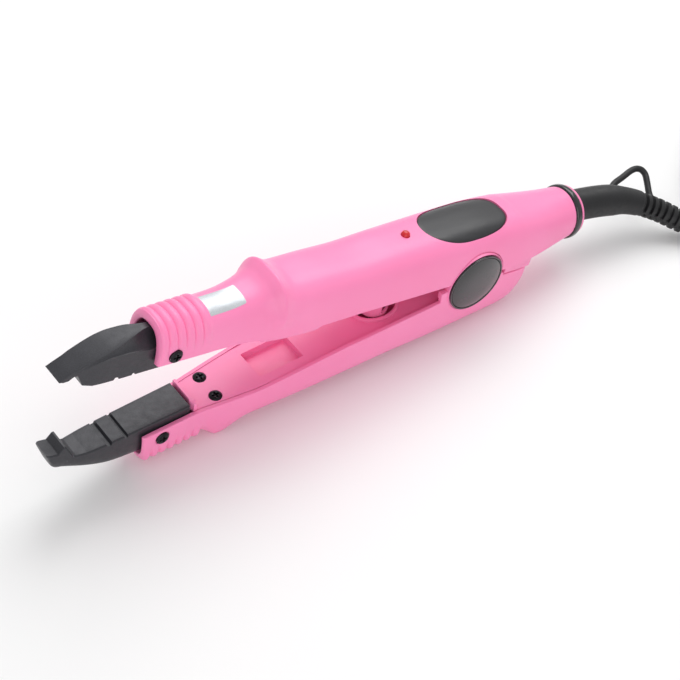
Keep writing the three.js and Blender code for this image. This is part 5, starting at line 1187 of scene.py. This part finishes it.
LOWER_JAW_TOP = [(-1.3, 5.8), (2.7, 4.4), (4.9, 6.4), (5.6, 6.3), (7.2, 1.9), (7.9, 0.7), (8.9, 0.2),
                 (12.6, -0.15), (51, -0.15)]
LOWER_JAW_HULL = [[-1.3, -0.3], [0.78, 0.13], [4.16, 0.3], [12.5, 0.6], [20.8, 0.84], [30.2, 0.95], [36.4, 1],
                  [54.6, 1]]


def hanging_rings(x, half, depth, squareness, base, edge, corner, angles):
    """Sections that hang from a base: a superellipse cut off level at an edge height, both top
    corners rounded by a quarter circle. The arch starts at the angle where it meets the corner."""
    squareness = np.broadcast_to(squareness, x.shape).astype(float)
    start_z = edge - corner
    start = np.arcsin(np.clip(((base - start_z) / depth), 0, 1) ** (squareness / 2))
    angle = start[:, None] + (np.pi - 2 * start[:, None]) * (angles / np.pi)[None, :]
    y = half[:, None] * power(np.cos(angle), 2 / squareness[:, None])
    z = base - depth[:, None] * np.sin(angle) ** (2 / squareness[:, None])
    quarter = np.linspace(0, np.pi / 2, 6)[1:]
    centre_y, centre_z = y[:, -1:] + corner, start_z[:, None]
    far_y = centre_y - corner * np.cos(quarter)
    far_z = centre_z + corner * np.sin(quarter)
    top = np.array([-0.75, -0.5, -0.25, 0, 0.25, 0.5, 0.75])
    top_y = -far_y[:, -1:] * top
    top_z = far_z[:, -1:] + 0 * top
    ring_y = np.concatenate([y, far_y, top_y, -far_y[:, ::-1]], 1)
    ring_z = np.concatenate([z, far_z, top_z, far_z[:, ::-1]], 1)
    return np.stack([x[:, None] + 0 * ring_y, ring_y, ring_z], -1)


def lower_jaw():
    """Cast lower jaw: a hanging hull whose top follows the pad, cross ridge, slope and grooved flat."""
    x = jaw_stations([p[0] for p in LOWER_JAW_TOP[1:-1]] + groove_breaks(), -1.3, 51)
    half = JAW_HALF * read_table(JAW_WIDTHS, x)[:, 0]
    depth = 9 + 14.6 * read_table(LOWER_JAW_HULL, x)[:, 0]
    edge = np.interp(x, *zip(*LOWER_JAW_TOP))
    rings = hanging_rings(x, half, depth, 4.0, 9.0, edge, 0.55, even_angles(56, 4))
    rings[..., 2] = np.minimum(rings[..., 2], (edge - groove_depth(x))[:, None])
    casting = loft("lower_jaw_casting", rings, lower_place, CHARCOAL, crease=28)
    return seat(casting, "lower_arm", "charcoal_coating", "lower_jaw")


# Lower arm

def lower_size(x):
    """Half width, depth and squareness of the lower arm's outside at each place."""
    size = read_table(LOWER_OUTLINE, np.asarray(x) / ARM_LENGTH)
    swell = rib_swell(x, FIRST_RIB_X - 1, 7) * 1.6
    x = np.asarray(x, float)
    end = rounded_end(x, 31.8, 0.9, 1) + rounded_end(x, 193.8, 1.4, -1)
    return size[:, 0] * HALF_WIDTH - end, size[:, 1] * LOWER_DEPTH + swell - end, size[:, 2]


def lower_edge(x):
    """Height of the lower arm's top edge: low in front, level behind, then sloping to the heel."""
    level = np.interp(x, [0, 76, 112, 180.5], [-3.2, -3.2, LOWER_EDGE_Z, LOWER_EDGE_Z])
    return np.where(x > 180.5, -1.7 - (x - 180.5) * 0.252, level)


def lower_skin():
    """Outside of the lower arm: hanging sections, flat where it rests on the table."""
    x = spread((31.8, 33, 0.12), (33, 54, 0.155), (54, 77, 0.4), (77, 176, 1.6), (176, 180.45, 0.5),
               (180.45, 180.55, 0.1), (180.55, 192, 0.5), (192, 193.75, 0.12))
    half, depth, squareness = lower_size(x)
    rings = hanging_rings(x, half, depth + LOWER_EDGE_Z, squareness, LOWER_EDGE_Z, lower_edge(x), 0.4,
                          even_angles(88, 4.5))
    scallop = 1.1 * rib_swell(x, FIRST_RIB_X - 1, 7)[:, None]
    rings[..., 1] += np.sign(rings[..., 1]) * scallop * (1 - smooth_step(-15.5, -10.5, rings[..., 2]))
    rings[..., 2] = np.maximum(rings[..., 2], TABLE_Z)
    return loft("lower_arm_housing", rings, lower_place, PINK)


def lower_room():
    """The lower arm's hollow."""
    x = spread((52, 184, 1.5))
    half, depth, squareness = lower_size(x)
    deep = np.minimum(depth, LOWER_DEPTH * 0.9) - WALL + 1
    rings = arch(x, half - LOWER_WALL, -deep, squareness, 1, even_angles(48, 4.5))
    return loft("room", rings, lower_place, PINK)


def jaw_room():
    """The front of the lower arm's hollow, which holds the jaw."""
    x = np.array([30.8, 31.8, 31.95, 32.2, 32.6, 40, 53])
    ease = rounded_end(x, 31.8, 0.6, 1)
    rings = arch(x, BORE_HALF + ease, -(BORE_TOP_Z + 1 + ease), 4, 1, even_angles(48, 4))
    return loft("jaw_room", rings, lower_place, PINK)


def ear(side):
    """Round flange over the pivot with a raised rim, a fine groove and the cap's seat."""
    profile = [(3.3, EAR_INNER_Y), (12.3, EAR_INNER_Y), (EAR_RADIUS, 11.6), (EAR_RADIUS, 13.7),
               (12.45, 13.88), (12.34, 13.96), (12.22, 13.96), (12.1, 13.88), (12.05, 13.75),
               (12.05, 13.1), (3.3, 13.1)]
    return washer("ear", [(r, side * h) for r, h in profile], PIVOT, "Y", lower_place, PINK, 160)


def ear_block(side):
    """Square block in front of a flange, which carries it on the arm's wall."""
    outline = rounded_box(151.5, -4.0, 168, 3.7, 0.8, 5)
    low, high = sorted((side * EAR_INNER_Y, side * 13.6))
    return slab("ear_block", outline, low, high, 0.3, "XZ", lower_place, PINK)


def lower_housing():
    """The moulded lower arm with its hollow and screw seats; the flanges ride on it as its pieces."""
    screw_at = (JAW_SCREW_X, 0, -JAW_SCREW_Z)
    seats = [cylinder_tool("screw_seat", 2.75, side * 7.3, side * 14, screw_at, "Y", lower_place, 64)
             for side in (1, -1)]
    pin_way = cylinder_tool("pin_way", 3.3, -20, 20, PIVOT, "Y", lower_place, 64)
    shell = carve(lower_skin(), [jaw_room(), lower_room(), *seats, pin_way], [ear_block(1), ear_block(-1)])
    seat(shell, "lower_arm", "pink_plastic", "lower_shell")
    for side, where in SIDES:
        flange = ear(side)
        flange.name = f"pivot_flange_{where}"
        seat(flange, "lower_arm", "pink_plastic")


def lower_cover_half(x):
    """Half width of the lower inner cover, which fits between the walls."""
    return lower_size(x)[0] - LOWER_WALL - FIT_GAP


def well_rings(profile, sides):
    """Rings round the well's oval: x = middle + (half + r) cos a, y = (half + r) sin a, z the height."""
    angle = np.linspace(0, 2 * np.pi, sides, endpoint=False)
    return np.stack([np.stack([WELL_X + (WELL_HALF_X + r) * np.cos(angle), (WELL_HALF_Y + r) * np.sin(angle),
                               z + 0 * angle], -1) for r, z in profile])


def lower_cover():
    """Inner cover: a lid with the thumb pocket, screw seats, a rear wall and the well's raised collar."""
    x = spread((52.3, 150.4, 1.2), (150.4, 150.6, 0.1), (150.6, 157.2, 1.1))
    half = np.where(x > 150.5, 11.1, lower_cover_half(x))
    lid = loft("lower_inner_lid", lid_rings(x, half, -4.3, -3.0), lower_place, PINK)
    tub_outline = rounded_box(78.4, -7.1, 98.6, 7.1, 1.0, 3)
    tub = slab("tub", tub_outline, -7.1, -3.4, 0.3, "XY", lower_place, PINK)
    pocket_outline = rounded_box(79.5, -6, 97.5, 6, 0.5, 3)
    pocket = slab("pocket", pocket_outline, -6, 2, 0.2, "XY", lower_place, PINK)
    collar_rings = well_rings(rounded_box(0, -5.6, 1.3, -1.8, 0.35, 4), 96)
    collar = hoop("collar", collar_rings, lower_place, PINK)
    angle = np.linspace(0, 2 * np.pi, 96, endpoint=False)
    mouth_outline = np.column_stack([WELL_X + MOUTH_HALF_X * np.cos(angle), MOUTH_HALF_Y * np.sin(angle)])
    mouth = slab("mouth", mouth_outline, -8, 2, 0.01, "XY", lower_place, PINK)
    seats = [cylinder_tool("screw_seat", 2.4, -3.95, 2, (COVER_SCREW_X, side * COVER_SCREW_Y, 0), "Z",
                           lower_place, 48) for side in (1, -1)]
    wall_outline = rounded_box(155.9, -10.9, 157.1, 10.9, 0.4, 3)
    wall = slab("rear_wall", wall_outline, -4.1, 1.9, 0.3, "XY", lower_place, PINK)
    lid = carve(lid, [pocket, mouth, *seats], [tub, wall])
    seat(lid, "lower_arm", "pink_plastic", "lower_inner_cover")
    collar.name = "spring_well_collar"
    seat(collar, "lower_arm", "pink_plastic")


def cover_rim():
    """Raised lip at the cover's front, with a small rounded bump near its near end."""
    reach = float(lower_cover_half(np.array([53.0]))[0])
    y = np.linspace(-reach, reach, 81)
    bump = np.exp(-((y + reach - 2.1) / 1.0) ** 2)
    thick = 0.6 + 0.6 * bump
    section = rounded_box(-1, 0, 1, 1, 0.35, 5)
    x = 53.0 + 0.15 * bump[:, None] + thick[:, None] * section[:, 0]
    z = -4.3 + (4.1 + 0.05 * bump[:, None]) * section[:, 1]
    rings = np.stack([x, y[:, None] + 0 * x, z], -1)
    return seat(loft("cover_front_lip", rings, lower_place, PINK), "lower_arm", "pink_plastic")


def spring_well():
    """Cup under the collar, which the spring stands in."""
    rings = well_rings([(0, -15.2), (0, -4.4), (1.2, -4.4), (1.2, -16.8), (0.8, -17.2)], 72)
    return seat(loft("spring_cup", rings, lower_place, PINK), "lower_arm", "pink_plastic")


# Screws, caps and small parts

HEAD_HEIGHT = 1.3
RECESS_DEPTH = 0.95
HEAD_SHARES = [0.04, 0.1, 0.16, 0.22, 0.28, 0.34, 0.4, 0.46, 0.52, 0.58, 0.64, 0.7, 0.76, 0.82, 0.88, 0.93,
               0.97, 1]


def recess_arm(along, across):
    """One arm of the cross recess: 1 where a place lies in it, 0 outside, sloped between."""
    return (1 - smooth_step(0.28, 0.5, np.abs(along))) * (1 - smooth_step(1.2, 1.5, np.abs(across)))


def pan_screw(name, head, direction, shank, place, body, node, radius=2.4):
    """Pan head screw with a cross recess. The head is a polar grid: height falls off as a low dome,
    and drops by the recess depth where the place lies inside the cross."""
    shares = column(HEAD_SHARES)
    angle = np.linspace(0, 2 * np.pi, 96, endpoint=False)
    u = radius * shares * np.cos(angle)
    v = radius * shares * np.sin(angle)
    dome = HEAD_HEIGHT * (1 - 0.45 * shares ** 4) + 0 * u
    cross = np.maximum(recess_arm(u, v), recess_arm(v, u)) * (1 - 0.5 * shares)
    top = np.stack([u, v, dome - RECESS_DEPTH * cross], -1)
    rest = [(radius, HEAD_HEIGHT * 0.35), (radius * 0.985, 0.05), (radius * 0.96, 0), (1.2, 0),
            (1.2, -shank), (0.6, -shank - 0.5)]
    side = np.stack([np.stack([r * np.cos(angle), r * np.sin(angle), h + 0 * angle], -1) for r, h in rest])
    local = np.concatenate([top, side])
    poles = np.array([[0, 0, dome[0, 0] - RECESS_DEPTH], [0, 0, -shank - 0.6]])
    axis = np.asarray(direction, float)
    first = np.array([1.0, 0, 0])
    basis = np.stack([first, np.cross(axis, first), axis])
    rings = local @ basis + np.asarray(head, float)
    ends = poles @ basis + np.asarray(head, float)
    piece = loft(name, rings, place, DARK_STEEL, (ends[0], ends[1]), crease=40)
    return seat(piece, body, "black_steel", node)


def screws():
    """The eight screws: two into each jaw from the sides, two into each inner cover."""
    for side, where in SIDES:
        cover_y = side * COVER_SCREW_Y
        pan_screw(f"upper_jaw_bolt_{where}", (JAW_SCREW_X, side * 9, JAW_SCREW_Z), (0, side, 0), 4.2,
                  upper_place, "handle", f"upper_jaw_screw_{where}")
        pan_screw(f"lower_jaw_bolt_{where}", (JAW_SCREW_X, side * 7.6, -JAW_SCREW_Z), (0, side, 0), 2.8,
                  lower_place, "lower_arm", f"lower_jaw_screw_{where}")
        pan_screw(f"upper_cover_bolt_{where}", (COVER_SCREW_X, cover_y, 4.0), (0, 0, -1), 3.0,
                  upper_place, "handle", f"upper_cover_screw_{where}")
        pan_screw(f"lower_cover_bolt_{where}", (COVER_SCREW_X, cover_y, -3.65), (0, 0, 1), 3.0,
                  lower_place, "lower_arm", f"lower_cover_screw_{where}", 2.2)


def pivot_caps():
    """Lacquered caps: a low dome inside a fine groove and a raised rim."""
    base = 13.4
    dome = [(0, 0), (10.9, 0), (11.0, 0.1), (11.0, 0.85), (10.9, 1.02), (10.2, 1.25), (8.8, 1.6),
            (7.0, 1.9), (5.0, 2.1), (3.0, 2.2), (1.2, 2.24), (0, 2.25)]
    rim = [(11.05, 0), (11.4, 0), (11.75, 0.35), (11.75, 0.95), (11.65, 1.1), (11.45, 1.15),
           (11.2, 1.08), (11.05, 0.85)]
    for side, where in SIDES:
        cap = spun(f"pivot_dome_{where}", [(r, side * (base + h)) for r, h in dome], PIVOT, "Y",
                   lower_place, CAP, 160)
        seat(cap, "lower_arm", "black_gloss", f"pivot_cap_{where}")
        edge = washer(f"pivot_rim_{where}", [(r, side * (base + h)) for r, h in rim], PIVOT, "Y",
                      lower_place, GLOSS, 160)
        seat(edge, "lower_arm", "black_gloss")


def pivot_pin():
    """The turned pin through both arms, its ends chamfered."""
    profile = [(0, -13.1), (2.7, -13.1), (3, -12.8), (3, 12.8), (2.7, 13.1), (0, 13.1)]
    pin = spun("pivot_rod", profile, PIVOT, "Y", lower_place, STEEL, 64)
    return seat(pin, "lower_arm", "bright_steel", "pivot_pin")


def plate_and_label():
    """Bare rating plate let into the crown, and the bare sticker on the waist."""
    plate = pad("bare_plate", plate_outline(0.0), PAD_LEVELS, lambda x, y: upper_top(x, y) - 0.9,
                lambda x, y: upper_top(x, y) - 0.28, upper_place, PLATE)
    seat(plate, "handle", "plate_black", "rating_plate")
    corners = rounded_box(52.5, -5.6, 67, 2.6, 0.55, 6)
    outline = np.vstack([np.linspace(a, b, 6, endpoint=False)
                         for a, b in zip(corners, np.roll(corners, -1, 0))])
    film = pad("bare_film", outline, TOOL_LEVELS, lambda x, y: upper_top(x, y) - 0.1,
               lambda x, y: upper_top(x, y) + 0.1, upper_place, LABEL)
    seat(film, "handle", "silver_label", "bare_sticker")


def lamp():
    """Indicator lamp: a round stem with a low, softly rounded dome."""
    stem = [(0, 10.9), (1.6, 10.9), (1.6, 21.2), (1.55, 21.6), (1.4, 22.0), (1.1, 22.35),
            (0.6, 22.6), (0, 22.7)]
    body = spun("lamp_lens", stem, (LAMP_X, 0, 0), "Z", upper_place, RED, 40, crease=50)
    return seat(body, "handle", "led_red", "indicator_led")


def tail_rings():
    """Black collar and thin pink ring at the tail, both turned about the tail's axis."""
    centre = (0, 0, TAIL_AXIS_Z)
    collar = rounded_box(4, 218.3, 10.35, 221.2, [0.1, 1.1, 1.1, 0.1], 8)
    seat(washer("tail_black_collar", collar, centre, "X", upper_place, GLOSS, 128), "handle", "black_gloss",
         "tail_collar")
    ring = rounded_box(7.3, 221.5, 9.65, 222.5, [0.1, 0.3, 0.3, 0.25], 5)
    seat(washer("tail_pink_ring", ring, centre, "X", upper_place, PINK, 128), "handle", "pink_plastic",
         "tail_end_ring")


SPRING_X = 132.7
SPRING_TURNS = 7
SPRING_RADIUS = 2.4
SPRING_FOOT_Z = -14.45
SPRING_TOP_Z = 12.25


def return_spring():
    """Open helix of round wire between the well and the post, closed at both ends."""
    turns = np.linspace(0, SPRING_TURNS, SPRING_TURNS * 40 + 1)
    share = turns / SPRING_TURNS
    height = SPRING_FOOT_Z + (SPRING_TOP_Z - SPRING_FOOT_Z) * smooth_step(-0.06, 1.06, share)
    path = around((SPRING_X, 0), 2 * np.pi * turns, SPRING_RADIUS, height)
    wire = swept("return_spring_wire", path, 0.45, lower_place, STEEL, 14)
    seat(wire, "lower_arm", "bright_steel", "return_spring")
    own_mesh(wire)


def inner_nodes():
    """Finishes for the CAD nodes that stay as they are inside the arms."""
    looks = {"upper_heater": CERAMIC, "lower_heater": CERAMIC, "upper_heater_lead": SLEEVE,
             "lower_heater_lead": SLEEVE, "circuit_board": BOARD, "board_capacitor": GLOSS,
             "spring_seat": PINK}
    for name, look in looks.items():
        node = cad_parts[name]
        if not node.material_slots:
            node.data.materials.append(look)
        for held in node.material_slots:
            held.material = look


def build():
    """Everything, in the order in which it is made."""
    bpy.context.scene.view_settings.view_transform = "Standard"
    photograph_camera()
    studio()
    floor()
    cord_boot()
    hang_loop()
    mains_cord([*plug(), cord_tie()])
    upper_housing()
    upper_cover()
    upper_jaw()
    lower_jaw()
    lower_housing()
    lower_cover()
    cover_rim()
    spring_well()
    screws()
    pivot_caps()
    pivot_pin()
    plate_and_label()
    lamp()
    tail_rings()
    return_spring()
    inner_nodes()


build()
